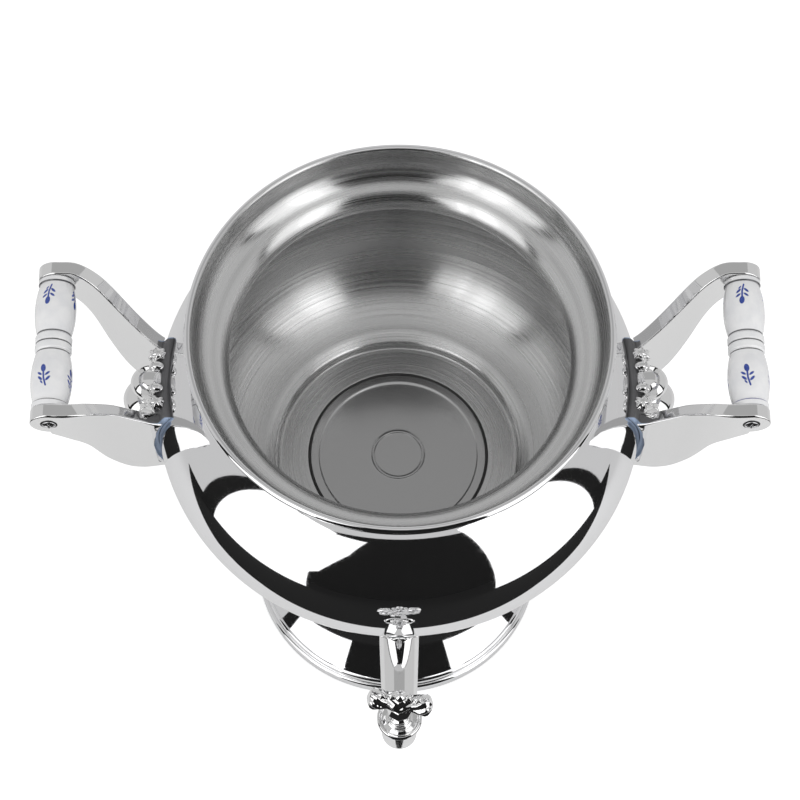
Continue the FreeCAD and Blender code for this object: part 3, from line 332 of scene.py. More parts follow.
def brushed(name, colour, roughness, lines, depth, stretch):
    """Steel brushed round the main axis: fine lines follow the attribute that counts length down the
    profile, break up slowly round the turn, and spread highlights up and down."""
    material, tree, shader = new_shader(name, colour, roughness, 1.0)
    shader.inputs["Anisotropic"].default_value = stretch
    shader.inputs["Anisotropic Rotation"].default_value = 0.25
    turn = tree.nodes.new("ShaderNodeTangent")
    turn.direction_type = "RADIAL"
    turn.axis = "Z"
    tree.links.new(turn.outputs[0], shader.inputs["Tangent"])
    where = tree.nodes.new("ShaderNodeTexCoord")
    split = tree.nodes.new("ShaderNodeSeparateXYZ")
    tree.links.new(where.outputs["Object"], split.inputs[0])
    along = tree.nodes.new("ShaderNodeAttribute")
    along.attribute_name = "along"
    joined = tree.nodes.new("ShaderNodeCombineXYZ")
    tree.links.new(split.outputs["X"], joined.inputs["X"])
    tree.links.new(split.outputs["Y"], joined.inputs["Y"])
    tree.links.new(along.outputs["Fac"], joined.inputs["Z"])
    fine = add_noise(tree, 1.0, (12, 12, lines), 2.0, joined.outputs[0])
    broad = add_noise(tree, 1.0, (3, 3, lines / 4), 2.0, joined.outputs[0])
    mixed = tree.nodes.new("ShaderNodeMath")
    mixed.operation = "ADD"
    tree.links.new(fine.outputs["Fac"], mixed.inputs[0])
    tree.links.new(broad.outputs["Fac"], mixed.inputs[1])
    spread(tree, mixed.outputs[0], roughness - 0.08, roughness + 0.08, shader.inputs["Roughness"], 0.7, 1.3)
    tone = tree.nodes.new("ShaderNodeMapRange")
    tone.data_type = "FLOAT_VECTOR"
    sockets = {socket.identifier: socket for socket in tone.inputs}
    sockets["From_Min_FLOAT3"].default_value = (0.75, 0.75, 0.75)
    sockets["From_Max_FLOAT3"].default_value = (1.25, 1.25, 1.25)
    sockets["To_Min_FLOAT3"].default_value = tuple(0.92 * part for part in colour)
    sockets["To_Max_FLOAT3"].default_value = colour
    tree.links.new(mixed.outputs[0], tone.inputs["Vector"])
    tree.links.new(tone.outputs["Vector"], shader.inputs["Base Color"])
    add_bump(tree, shader, mixed.outputs[0], 0.35, depth)
    return material


chrome_shell = polished("chrome_shell", (0.90, 0.90, 0.91), 0.05)
brushed_steel = brushed("brushed_steel", (0.76, 0.76, 0.76), 0.24, 2600.0, 0.00003, 0.88)
vessel_corners = [
    (44.8, 148.0), (44.8, 149.0), (59.0, 149.0, 0.8), (60.2, 151.85, 1.4),
    (65.8, 154.25, 1.4, LOWER_BEND - SHEET),
    (BELLY - SHEET, WIDEST, 0.01, UPPER_BEND - SHEET), (81.5, 256.04, 0.01, -3.2), (78.3, 259.24, 0.01),
    (78.3, 261.8, 0.8, -12.0), (84.8, 268.0, 1.0, 15.0), (93.3, 276.4, 1.2), (94.1, 285.3, 0.01, -1.7),
    (95.8, 287.0, 0.01, -1.7), (97.5, 285.3, 0.01, -1.7), (95.8, 283.6, 0.1), (95.1, 283.6, 0.2),
    (94.3, 275.9, 0.6, -16.0), (85.5, 267.3, 0.6, 11.0), (79.3, 261.5, 0.3), (79.3, 259.28, 0.01, 2.2),
    (81.5, 257.08, 0.01, -UPPER_BEND), (BELLY, WIDEST, 0.01, -LOWER_BEND), (65.8, 153.24, 1.0),
    (61.2, 150.85, 1.0), (60.0, 148.0, 0.6)]
vessel_profile = outline(vessel_corners, True)
vessel = surface("vessel", turned_grid(vessel_profile, 200), True, chrome_shell, "samovar",
                 "vessel_shell")
vessel.data.materials.append(brushed_steel)
FLOOR_EDGE, LIP_CREST = 2, (95.0, 286.8)
crest = int(np.argmin(np.hypot(*(vessel_profile - LIP_CREST).T)))
column = np.arange(len(vessel.data.polygons)) % len(vessel_profile)
inside = (column > FLOOR_EDGE) & (column < crest)
vessel.data.polygons.foreach_set("material_index", inside.astype(np.int32))

# The heater's top: a pressed steel plate with a shallow dish and a small pressed ring. It closes the
# opening in the vessel's floor, and the heater lies under it.
plate_steel, tree, shader = new_shader("plate_steel", (0.55, 0.55, 0.55), 0.17, 1.0)
grain = add_noise(tree, 2400.0, (1, 1, 0.2))
spread(tree, grain.outputs["Fac"], 0.14, 0.20, shader.inputs["Roughness"])
add_bump(tree, shader, grain.outputs["Fac"], 0.1, 0.00001)
plate_corners = [(0.0, 148.6), (11.7, 148.6, 0.3), (12.1, 149.1, 0.3), (12.9, 149.1, 0.3),
                 (13.3, 148.6, 0.3), (39.0, 148.6, 0.4), (39.8, 149.0, 0.4), (43.6, 149.0, 0.3),
                 (43.6, 147.8), (0.0, 147.8)]
surface("floor_disc", turned_grid(outline(plate_corners, False), 192), False, plate_steel, "samovar",
        "heater_plate")

# The ring that seals the heater's top in the floor's opening: moulded dark rubber with a thin lip that
# the plate and the floor's edge press on.


def grained(name, colour, roughness, scale, depth, strength=0.3, metallic=0.0):
    """A plain finish whose fine grain is a noise of the given scale, as deep as given in metres."""
    material, tree, shader = new_shader(name, colour, roughness, metallic)
    add_bump(tree, shader, add_noise(tree, scale).outputs["Fac"], strength, depth)
    return material


seal_rubber = grained("seal_rubber", (0.05, 0.05, 0.05), 0.5, 4000.0, 0.00002)
seal_corners = [(43.6, 147.0), (49.3, 147.0), (49.3, 148.0), (44.8, 148.0), (44.8, 149.0, 0.2),
                (44.2, 149.35, 0.3), (43.6, 149.0, 0.2)]
surface("floor_seal", turned_grid(outline(seal_corners, True), 192), True, seal_rubber, "samovar",
        "heater_seal")

# The pedestal: a second spun sheet, polished and chromed, that flares from the foot into a waist and up
# to the belly, where studs inside hold the vessel on it.
pedestal_corners = [(72.4, 12.5, 0.01, -92.0), (43.0, 80.0, 0.5), (43.0, 92.0, 0.5, -76.0),
                    (72.5, 152.0, 0.4), (72.5, 153.0, 0.1), (70.0, 153.0, 0.1, 77.0), (42.0, 92.0, 0.5),
                    (42.0, 80.0, 0.5, 93.0), (71.1, 12.5, 0.01)]
surface("waist", turned_grid(outline(pedestal_corners, True), 256), True, chrome_shell, "samovar",
        "pedestal")

# The stepped foot: a chromed ring turned with a bead and two small steps, which carries the pedestal
# and holds the base sheet in its rebate.
ring_corners = [(76.5, 3.2, 0.5), (76.5, 7.6, 0.01, 2.0), (74.5, 9.4, 0.2), (74.5, 10.1, 0.01, 2.6),
                (73.0, 12.5, 0.2), (70.4, 12.5, 0.1), (70.4, 8.2, 0.1), (64.8, 8.2, 0.1), (64.8, 6.2, 0.1),
                (72.3, 6.2, 0.1), (72.3, 3.2, 0.2)]
surface("stepped_foot", turned_grid(outline(ring_corners, True, 0.8), 256), True, chrome_shell, "samovar",
        "foot_ring")

# The collar ring: soft grey silicone between the pedestal's upper rim and the belly, so that neither
# rubs the other's chrome.
soft_grey = grained("collar_silicone", (0.42, 0.44, 0.46), 0.45, 2500.0, 0.00003)
collar_corners = [(70.0, 153.05, 0.1), (72.5, 153.05, 0.3), (72.4, 154.6, 0.3), (70.0, 154.0, 0.1)]
surface("collar_ring", turned_grid(outline(collar_corners, True, 0.5), 192), True, soft_grey, "samovar",
        "collar_gasket")

# The tap's casting: a chromed tube that tapers towards an upright housing with a short round spout.
# It is polished all over; the spout is bored, and a nut inside the vessel holds it on the wall.
TAP_LEVEL, TAP_REACH = 173.0, 148.0
chrome_cast = polished("chrome_cast", (0.90, 0.90, 0.90), 0.16, 0.07)


def belly_reach(z):
    """The belly's outer radius at a height: widest radius - bend + root of (bend squared - height above
    the widest ring squared), with the wall's own bend above that ring and below it."""
    bend = np.where(z > WIDEST, UPPER_BEND, LOWER_BEND)
    return BELLY - bend + np.sqrt(np.clip(bend ** 2 - (z - WIDEST) ** 2, 0, None))


def lay_forward(grid):
    """The same points with their axis laid along -Y at the tap's height: (x, y, z) to (x, -z, y)."""
    return np.stack([grid[..., 0], -grid[..., 2], TAP_LEVEL + grid[..., 1]], -1)


def set_on_tap(grid, level, turn=0.0):
    """Points raised to a level over the tap's own upright axis, and turned about it by an angle t:
    (x cos t - y sin t, x sin t + y cos t - reach, z + level)."""
    c, s = math.cos(turn), math.sin(turn)
    return np.stack([c * grid[..., 0] - s * grid[..., 1], s * grid[..., 0] + c * grid[..., 1] - TAP_REACH,
                     grid[..., 2] + level], -1)


tube_corners = [(5.0, 81.0, 0.3), (5.0, 99.0, 0.2), (9.5, 99.5, 0.5), (7.9, 148.0, 0.1)]
tube_profile = outline([(0.0, 81.0)] + tube_corners + [(0.0, 148.0)], False)
surface("tap_tube", lay_forward(turned_grid(tube_profile, 128)), False, chrome_cast, "samovar",
        "tap_body")
housing_corners = [(4.2, 153.0, 0.4), (5.2, 153.0, 0.4), (5.5, 153.6, 0.3), (6.6, 159.6, 0.6),
                   (8.2, 160.8, 0.8), (8.4, 178.0, 0.8), (9.3, 181.3, 0.3), (6.3, 181.3, 0.2),
                   (6.3, 163.0, 0.2), (4.2, 163.0, 0.2)]
surface("tap_housing", set_on_tap(turned_grid(outline(housing_corners, True, 0.9), 128), 0), True,
        chrome_cast, "samovar", "tap_body")

# The dish on the housing: a turned and chromed cap, hollow on top, which screws down over the plug's
# shoulder and lets the key's stem through.
DISH_LEVEL = 181.4
bonnet_corners = [(2.6, 0.0, 0.1), (9.9, 0.0, 0.2), (10.5, 0.6, 0.3), (10.5, 2.4, 0.4), (10.0, 3.2, 0.35),
                  (9.2, 3.1, 0.35), (8.5, 2.2, 0.4), (6.0, 1.9, 0.4), (5.4, 3.1, 0.3), (2.6, 3.2, 0.1)]
surface("tap_dish", set_on_tap(turned_grid(outline(bonnet_corners, True, 0.5), 128), DISH_LEVEL), True,
        chrome_cast, "samovar", "tap_bonnet")

# The rim of petals and its soft seat: a stamped and chromed rosette that backs the tube on the vessel's
# wall, over a thin silicone washer. The nut inside draws both down on the belly.
PETALS, PETAL_DEPTH, PETAL_ROOT, PETAL_LENGTH = 10, 0.16, 7.6, 4.3


def on_the_belly(loop, petals=0):
    """Rings (radius, height over the wall) round the tap's axis, laid on the belly's front. Past their
    root the radius shrinks between petals by depth (1 - |cos(petals a / 2)|), more towards the rim."""
    loop = np.array(loop)
    angle = np.linspace(0, 2 * np.pi, 240, endpoint=False)[:, None]
    share = np.clip((loop[:, 0] - PETAL_ROOT) / PETAL_LENGTH, 0, 1)
    dip = 1 - np.abs(np.cos(petals * angle / 2))
    radius = loop[:, 0] * (1 - PETAL_DEPTH * share * dip)
    x, z = radius * np.cos(angle), TAP_LEVEL + radius * np.sin(angle)
    return np.stack([x, -np.sqrt((belly_reach(z) + loop[:, 1]) ** 2 - x ** 2), z], -1)


petal_loop = [(5.1, 0.7), (10.8, 0.7), (12.0, 1.0), (12.2, 1.4), (11.7, 1.8), (10.9, 1.5), (10.0, 1.2),
              (9.6, 1.9), (8.0, 2.2), (5.1, 2.2)]
surface("petal_rim", on_the_belly(petal_loop, PETALS), True, chrome_cast, "samovar",
        "tap_rosette")
seat_loop = [(5.1, 0.05), (11.2, 0.05), (11.4, 0.3), (11.2, 0.65), (5.1, 0.65)]
surface("tap_seat", on_the_belly(seat_loop), True, soft_grey, "samovar", "tap_gasket")

# The key that turns the tap: a ring, a stem with eight flats that widens upwards, and a leafy
# cross-piece cast in one, with a small ball on top; it stands a little askew, as it was left.
KEY_TURN = -math.radians(8.0)
RING_LEVEL, STEM_LEVEL, BAR_LEVEL, BAR_HALF = 184.9, 187.2, 207.0, 15.2
ring_corners = [(0.0, 0.0), (4.6, 0.0, 0.4), (5.1, 1.2, 0.6), (4.6, 2.4, 0.4), (0.0, 2.6)]
ring_profile = outline(ring_corners, False, 0.4)
surface("key_ring", set_on_tap(turned_grid(ring_profile, 96), RING_LEVEL, KEY_TURN), False, chrome_cast,
        "tap_handle", "tap_key")


def eight_flats(profile, steps):
    """A turned shape whose round is pulled to eight flats: r cos(22.5 degrees) / cos(the angle past the
    middle of a flat)."""
    angle = np.linspace(0, 2 * np.pi, steps, endpoint=False)[:, None]
    past = np.mod(angle, math.pi / 4) - math.pi / 8
    flat = np.cos(math.pi / 8) / np.cos(past)
    r, z = profile[:, 0][None, :] * flat, profile[:, 1][None, :]
    return np.stack([r * np.cos(angle), r * np.sin(angle), np.broadcast_to(z, r.shape)], -1)


stem_corners = [(0.0, 0.0), (2.9, 0.0, 0.2), (5.2, 6.5, 0.3), (6.3, 10.5, 0.5), (4.6, 15.0, 0.6),
                (0.0, 16.0)]
stem_profile = outline(stem_corners, False, 0.5)
stem = surface("key_stem", set_on_tap(eight_flats(stem_profile, 128), STEM_LEVEL, KEY_TURN), False,
               chrome_cast, "tap_handle", "tap_key")
stem.data.shade_flat()


def leafy_bar(half_length, radii, squash, ribs, twist, depth, steps):
    """A bar along X whose radius follows the given stations; ribs wind round it:
    R(x, a) = R(x) (1 + depth cos(ribs a + twist x)), and its depth along Y is squashed."""
    part = np.sin(np.linspace(-math.pi / 2, math.pi / 2, 150))[None, :]
    x = part * half_length
    radius = np.interp(np.abs(x), *radii) * np.sqrt(np.clip(1 - part ** 14, 0, 1))
    angle = np.linspace(0, 2 * np.pi, steps, endpoint=False)[:, None]
    rib = 1 + depth * np.cos(ribs * angle + twist * np.abs(x))
    return np.stack([np.broadcast_to(x, rib.shape), radius * rib * np.cos(angle) * squash,
                     radius * rib * np.sin(angle)], -1)


bar_radii = ([0, 2, 4, 5.5, 7, 8.5, 10, 12, 13.5, 15], [6.0, 5.6, 4.6, 4.1, 4.5, 5.2, 5.6, 5.6, 5.1, 3.4])
bar = leafy_bar(BAR_HALF, bar_radii, squash=0.85, ribs=6, twist=0.75, depth=0.11, steps=96)
surface("key_bar", set_on_tap(bar, BAR_LEVEL, KEY_TURN), False, chrome_cast, "tap_handle",
        "tap_key")


def bulb(centre, radii, flutes=0, depth=0.0, steps=64):
    """An ellipsoid round a centre: centre + radii (cos h cos a, cos h sin a, sin h). Flutes along its
    height take off up to a share of its radius: 1 - depth (1 + cos(flutes a)) / 2."""
    height = np.linspace(-math.pi / 2, math.pi / 2, 48)[None, :]
    angle = np.linspace(0, 2 * np.pi, steps, endpoint=False)[:, None]
    swell = 1 - depth * (0.5 + 0.5 * np.cos(flutes * angle)) if flutes else np.ones_like(angle)
    return np.stack([centre[0] + radii[0] * np.cos(height) * np.cos(angle) * swell,
                     centre[1] + radii[1] * np.cos(height) * np.sin(angle) * swell,
                     centre[2] + radii[2] * np.sin(height) * np.ones_like(angle)], -1)


key_leaves = [(-8.2, 4.4, 2.5), (-3.6, 5.6, 2.3), (3.6, 5.6, 2.3), (8.2, 4.4, 2.5), (-4.8, -4.6, 2.4),
              (4.8, -4.6, 2.4)]
for index, (x, z, size) in enumerate(key_leaves):
    leaf = bulb((x, 0, z), (size, 0.85 * size, size), flutes=5, depth=0.3)
    surface("key_leaf_" + str(index + 1), set_on_tap(leaf, BAR_LEVEL, KEY_TURN), False, chrome_cast,
            "tap_handle", "tap_key")
surface("key_ball", set_on_tap(bulb((0, 0, 7.3), (2.5, 2.5, 2.6)), BAR_LEVEL, KEY_TURN), False,
        chrome_cast, "tap_handle", "key_finial")

# Each handle's bracket: a chromed zinc casting with two plate arms that sweep out and up from the
# belly to the ends of the grip, and a leafy root with three swelling lobes between them.
# A soft seat lies between the root and the belly, so the casting stays a little off the wall.
GRIP_X, GRIP_Z = 157.5, 271.2
ARM_HALF, ARM_EDGE, EYE, OFF_WALL = 3.2, 0.8, 8.6, 2.9
ARM_START, EYE_BLEND = 92.0, 4.0
upper_x = [90.2, 114.5, 122.5, 131.5, 139.5, 147.5, 157.5]
upper_z = [232.0, 237.5, 249.0, 263.5, 273.5, 278.6, 279.8]
lower_x = [90.2, 115.5, 123.5, 130.5, 136.5, 143.5, 150.5, 157.5]
lower_z = [187.0, 190.0, 195.5, 205.5, 220.5, 243.5, 255.0, 260.6]
plan_x = [90.2, 107.0, 128.0, 140.6, 149.0, 157.5, 168.1]
plan_y = [15.2, 18.4, 26.4, 33.0, 35.7, 35.9, 35.9]


def smooth_through(x, y, at):
    """A smooth curve through the points: cubic pieces in t, the share of the way from one point to the
    next, which meet with the slope that each point's neighbours give it."""
    x, y = np.array(x, float), np.array(y, float)
    slope = np.gradient(y, x)
    index = np.clip(np.searchsorted(x, at) - 1, 0, len(x) - 2)
    gap = x[index + 1] - x[index]
    t = (at - x[index]) / gap
    return ((2 * t ** 3 - 3 * t ** 2 + 1) * y[index] + (t ** 3 - 2 * t ** 2 + t) * gap * slope[index]
            + (3 * t ** 2 - 2 * t ** 3) * y[index + 1] + (t ** 3 - t ** 2) * gap * slope[index + 1])


def seated(side_x, x, y, z):
    """Points (x, y, z) of a casting, mirrored to a side. What would lie in the belly is laid on the seat:
    x is at least the root of ((belly's radius + distance off the wall) squared - y squared)."""
    x, y, z = np.broadcast_arrays(x, y, z)
    seat = np.sqrt(np.clip((belly_reach(z) + OFF_WALL) ** 2 - y ** 2, 0, None))
    return np.stack([side_x * np.maximum(x, seat), y, z], -1)


def arm_grid(side_x, side_y):
    """A plate arm: at each station along X its section is a rectangle with rounded edges, as high as
    the side outline there, set square to the plan curve. A round edge is its centre plus the edge's
    radius times (cos a, sin a); straight runs join its end to the start of the next one."""
    tip = GRIP_X + EYE
    blend = np.sin(np.linspace(0, math.pi / 2, 46)[1:])
    x = np.concatenate([np.linspace(ARM_START, GRIP_X - EYE_BLEND, 120),
                        tip - (EYE + EYE_BLEND) * (1 - blend) - 0.004])
    top = smooth_through(upper_x, upper_z, np.minimum(x, GRIP_X))
    low = smooth_through(lower_x, lower_z, np.minimum(x, GRIP_X))
    bow = np.sqrt(np.clip(EYE ** 2 - np.clip(x - GRIP_X, 0, None) ** 2, 0.02, None))
    top, low = np.where(x > GRIP_X, GRIP_Z + bow, top), np.where(x > GRIP_X, GRIP_Z - bow, low)
    high, middle = (top - low) / 2, (top + low) / 2
    y = smooth_through(plan_x, plan_y, x)
    slope = np.gradient(y, x)
    across = np.stack([-slope, np.ones_like(slope)]) / np.hypot(1, slope)
    soft = np.minimum(ARM_EDGE, 0.9 * high)
    turn = np.radians(np.arange(0, 360, 90)[:, None, None] + np.arange(0, 91, 15)[None, :, None])
    sign_t = np.array([1, -1, -1, 1])[:, None, None]
    sign_h = np.array([1, 1, -1, -1])[:, None, None]
    edges = np.stack([sign_t * (ARM_HALF - soft) + soft * np.cos(turn),
                      sign_h * (high - soft) + soft * np.sin(turn)])
    leave, reach = edges[:, :, -1:], np.roll(edges[:, :, :1], -1, axis=1)
    runs = leave + np.array([0.03, 0.25, 0.5, 0.75, 0.97])[:, None] * (reach - leave)
    aside, above = np.concatenate([edges, runs], axis=2).reshape(2, -1, x.size)
    return seated(side_x, x + across[0] * aside, side_y * (y + across[1] * aside), middle + above)


root_forms = [((117.0, 0, 232.0), (9.0, 8.5, 7.5), 0), ((118.5, 0, 214.0), (12.5, 11.5, 9.5), 0),
              ((116.0, 0, 197.0), (8.5, 9.5, 7.5), 0)]
for side_y in (-1, 1):
    root_forms += [((113.0, 12.5 * side_y, 235.5), (5.5, 4.2, 4.2), 7),
                   ((113.5, 5.6 * side_y, 238.2), (3.6, 2.4, 2.6), 0),
                   ((117.5, 9.5 * side_y, 224.0), (5.5, 3.2, 3.8), 5),
                   ((115.5, 12.0 * side_y, 205.0), (6.5, 3.6, 5.0), 5)]
FLUTE_DEPTH = 0.22
for side, word in ((-1, "left"), (1, "right")):
    bracket = "handle_bracket_" + word
    for side_y, place in ((-1, "front"), (1, "back")):
        surface("arm_" + place + "_" + word, arm_grid(side, side_y), False, chrome_cast, "samovar",
                bracket)
    for index, (centre, radii, flutes) in enumerate(root_forms):
        form = seated(side, *np.moveaxis(bulb(centre, radii, flutes, FLUTE_DEPTH), -1, 0))
        surface("root_form_" + str(index + 1) + "_" + word, form, False, chrome_cast, "samovar",
                bracket)

# The soft seats: moulded pale blue silicone pads that lie between the brackets' roots and the belly. Their
# outer face, away from the side edges, is painted dark grey as painted shade. The brackets' studs, with
# nuts inside the vessel, draw them flat on the wall.
SEAT_HALF, SEAT_DEPTH, SEAT_LOW, SEAT_HIGH = 20.5, 3.2, 185.0, 238.0
soft_seat = grained("soft_seat", (0.40, 0.50, 0.64), 0.38, 1800.0, 0.00003)
tree = soft_seat.node_tree
where = tree.nodes.new("ShaderNodeTexCoord")
split = tree.nodes.new("ShaderNodeSeparateXYZ")
tree.links.new(where.outputs["Object"], split.inputs[0])
off_middle = tree.nodes.new("ShaderNodeMath")
off_middle.operation = "ABSOLUTE"
tree.links.new(split.outputs["Y"], off_middle.inputs[0])
# Painted shade: the pad's middle, away from its pale blue side edges, is painted dark grey for the shade it
# lies in.
shade = tree.nodes.new("ShaderNodeMix")
shade.data_type = "RGBA"
shade.inputs["A"].default_value = (0.13, 0.13, 0.135, 1)
shade.inputs["B"].default_value = (0.38, 0.49, 0.68, 1)
spread(tree, off_middle.outputs[0], 0.0, 1.0, shade.inputs["Factor"], 0.0202, 0.0207)
tree.links.new(shade.outputs["Result"], tree.nodes["Principled BSDF"].inputs["Base Color"])


def pad_grid(side_x):
    """The pad: its section is a loop of (y, height over the wall), run round at each level z and laid on
    the belly: x is the root of ((belly's radius + height) squared - y squared)."""
    z = np.concatenate([[SEAT_LOW, SEAT_LOW + 0.2], np.linspace(SEAT_LOW + 0.8, SEAT_HIGH - 0.8, 60),
                        [SEAT_HIGH - 0.2, SEAT_HIGH]])[None, :]
    y = np.linspace(-SEAT_HALF, SEAT_HALF, 40)
    edge = SEAT_HALF + 0.4
    loop_y = np.concatenate([y, [edge, edge], y[::-1], [-edge, -edge]])[:, None]
    loop_out = np.concatenate([np.full(40, 0.1), [0.6, 2.7], np.full(40, SEAT_DEPTH), [2.7, 0.6]])[:, None]
    end = 1 - 0.25 * np.isin(z, (SEAT_LOW, SEAT_HIGH))
    x = np.sqrt((belly_reach(z) + loop_out * end) ** 2 - loop_y ** 2)
    y, z = np.broadcast_to(loop_y, x.shape), np.broadcast_to(z, x.shape)
    return np.stack([side_x * x, y, z], -1)


for side, word in ((-1, "left"), (1, "right")):
    surface("handle_seat_" + word, pad_grid(side), False, soft_seat, "samovar",
            "handle_gasket_" + word)

# The screws at the grips' ends: steel pan heads with a cross recess, sunk in a dark round seat. Each
# runs through the eye of an arm into the rod inside the grip.
HEAD_RADIUS, HEAD_HEIGHT, CROSS_HALF, CROSS_REACH, CROSS_DEPTH, HEAD_FACE = 3.0, 1.15, 0.42, 2.1, 0.7, 39.1
screw_steel = polished("screw_steel", (0.66, 0.66, 0.67), 0.2, 0.2)
seat_dark = grained("seat_dark", (0.05, 0.05, 0.052), 0.4, 1500.0, 0.00003, metallic=1.0)
crown = np.stack([np.linspace(0.001, HEAD_RADIUS, 40),
                  HEAD_HEIGHT - 0.06 * np.linspace(0, HEAD_RADIUS, 40) ** 2], -1)
head_profile = np.vstack([crown, [[3.15, 0.3], [3.15, -0.4], [0.0, -0.4]]])
head_grid = turned_grid(head_profile, 120)
in_cross = np.minimum(np.abs(head_grid[..., 0]), np.abs(head_grid[..., 1])) < CROSS_HALF
in_cross &= (np.hypot(head_grid[..., 0], head_grid[..., 1]) < CROSS_REACH) & (head_grid[..., 2] > 0.3)
head_grid[..., 2] -= CROSS_DEPTH * in_cross
ring_grid = turned_grid(np.array([(2.9, 0.3), (3.2, 0.1), (3.9, 0.12), (3.9, -0.2), (2.9, -0.2)]), 96)
for side, word in ((-1, "left"), (1, "right")):
    for side_y, place in ((-1, "front"), (1, "back")):
        for title, grid, wrap, finish in (("screw", head_grid, False, screw_steel),
                                          ("screw_seat", ring_grid, True, seat_dark)):
            laid = np.stack([side * GRIP_X - side_y * grid[..., 0], side_y * (HEAD_FACE + grid[..., 2]),
                             GRIP_Z + grid[..., 1]], -1)
            surface(title + "_" + place + "_" + word, laid, wrap, finish, "samovar",
                    "grip_screws_" + word)

# The grips: glazed porcelain, each a pair of swelling barrels with a collar at either end and two rings
# in the middle, and small blue sprigs painted under the glaze. Dark lines mark the grooves.
GRIP_LENGTH, BORE, BARREL_BEND, BARREL = 65.0, 2.8, 47.45, 9.4
grip_end = [(BORE, 0.0, 0.1), (8.2, 0.0, 0.7), (8.5, 2.34, 0.3), (7.8, 2.86, 0.2, BARREL_BEND),
            (7.9, 27.3, 0.2), (7.7, 28.3, 0.2), (8.4, 28.9, 0.3), (8.4, 31.7, 0.5), (7.9, 32.5, 0.1)]
grip_middle = [(r, GRIP_LENGTH - z, soft) for r, z, soft in [corner[:3] for corner in grip_end[-2::-1]]]
grip_middle[3] += (BARREL_BEND,)
grip_profile = outline(grip_end + grip_middle, True, 0.36)
in_bore = (grip_profile[:, 0] < BORE + 0.01) & (np.abs(grip_profile[:, 1] - GRIP_LENGTH / 2) < 32.0)
grip_profile = grip_profile[~in_bore]
SPRIGS, REAR_SPRIG, FRONT_SPRIG = 4, 9.8, 13.6
PAIR_GROOVE, MIDDLE_GROOVE, END_GROOVE, GROOVE_HALF = 27.8, 32.5, 2.6, 0.32
INNER, FAR = 6.5, 9.0
STALK_HALF = 0.42
stalk = np.array([(1.0, -4.7), (0.5, -3.0), (0.0, -1.0), (-0.1, 1.0), (-0.2, 2.6)])
leaves = [((-0.3, 3.7), (1.2, 2.0), 8.0), ((1.75, 0.9), (0.55, 1.4), -52.0),
          ((-1.95, 1.1), (0.55, 1.4), 55.0), ((2.0, -1.5), (0.6, 1.5), -45.0),
          ((-1.7, -1.2), (0.6, 1.5), 48.0), ((-1.0, -3.1), (0.4, 1.0), 40.0)]


def sprig_distance(across, along):
    """How far, in mm, a point of the barrel lies outside the nearest stroke of a sprig (negative inside).
    The stalk is a chain of short round strokes and each leaf an ellipse turned to its own angle."""
    nearest = np.full(across.shape, FAR)
    for first, last in zip(stalk[:-1], stalk[1:]):
        run = last - first
        part = np.clip(((across - first[0]) * run[0] + (along - first[1]) * run[1]) / (run @ run), 0, 1)
        gap = np.hypot(across - first[0] - part * run[0], along - first[1] - part * run[1]) - STALK_HALF
        nearest = np.minimum(nearest, gap)
    for (x, y), (wide, tall), angle in leaves:
        c, s = math.cos(math.radians(angle)), math.sin(math.radians(angle))
        u, v = c * (across - x) + s * (along - y), c * (along - y) - s * (across - x)
        nearest = np.minimum(nearest, (np.hypot(u / wide, v / tall) - 1) * wide)
    return nearest


def porcelain(name, end_line):
    """White glaze over paint: where an attribute of the mesh, the distance in mm to the nearest stroke,
    falls past zero, the colour turns from white to ink over a narrow edge."""
    material, tree, shader = new_shader(name, (0.86, 0.865, 0.875), 0.08)
    shader.inputs["IOR"].default_value = 1.5
    shader.inputs["Coat Weight"].default_value = 0.6
    shader.inputs["Coat Roughness"].default_value = 0.04
    cloud = add_noise(tree, 160.0)
    body = tree.nodes.new("ShaderNodeMix")
    body.data_type = "RGBA"
    body.inputs["A"].default_value = (0.80, 0.805, 0.82, 1)
    body.inputs["B"].default_value = (0.87, 0.87, 0.875, 1)
    spread(tree, cloud.outputs["Fac"], 0.0, 1.0, body.inputs["Factor"])
    colour = body.outputs["Result"]
    wash = add_noise(tree, 2200.0)
    for attribute, dark, pale, edge in (("sprig", (0.012, 0.028, 0.22, 1), (0.05, 0.10, 0.42, 1), 0.12),
                                        ("groove", (0.055, 0.055, 0.06, 1), (0.10, 0.10, 0.11, 1), 0.15),
                                        ("end_groove", end_line, end_line, 0.15)):
        field = tree.nodes.new("ShaderNodeAttribute")
        field.attribute_name = attribute
        ink = tree.nodes.new("ShaderNodeMix")
        ink.data_type = "RGBA"
        ink.inputs["A"].default_value = dark
        ink.inputs["B"].default_value = pale
        spread(tree, wash.outputs["Fac"], 0.0, 1.0, ink.inputs["Factor"])
        over = tree.nodes.new("ShaderNodeMix")
        over.data_type = "RGBA"
        spread(tree, field.outputs["Fac"], 1.0, 0.0, over.inputs["Factor"], -edge, edge)
        tree.links.new(colour, over.inputs["A"])
        tree.links.new(ink.outputs["Result"], over.inputs["B"])
        colour = over.outputs["Result"]
    tree.links.new(colour, shader.inputs["Base Color"])
    ripple = add_noise(tree, 90.0, detail=1.0)
    add_bump(tree, shader, ripple.outputs["Fac"], 0.08, 0.0003)
    return material


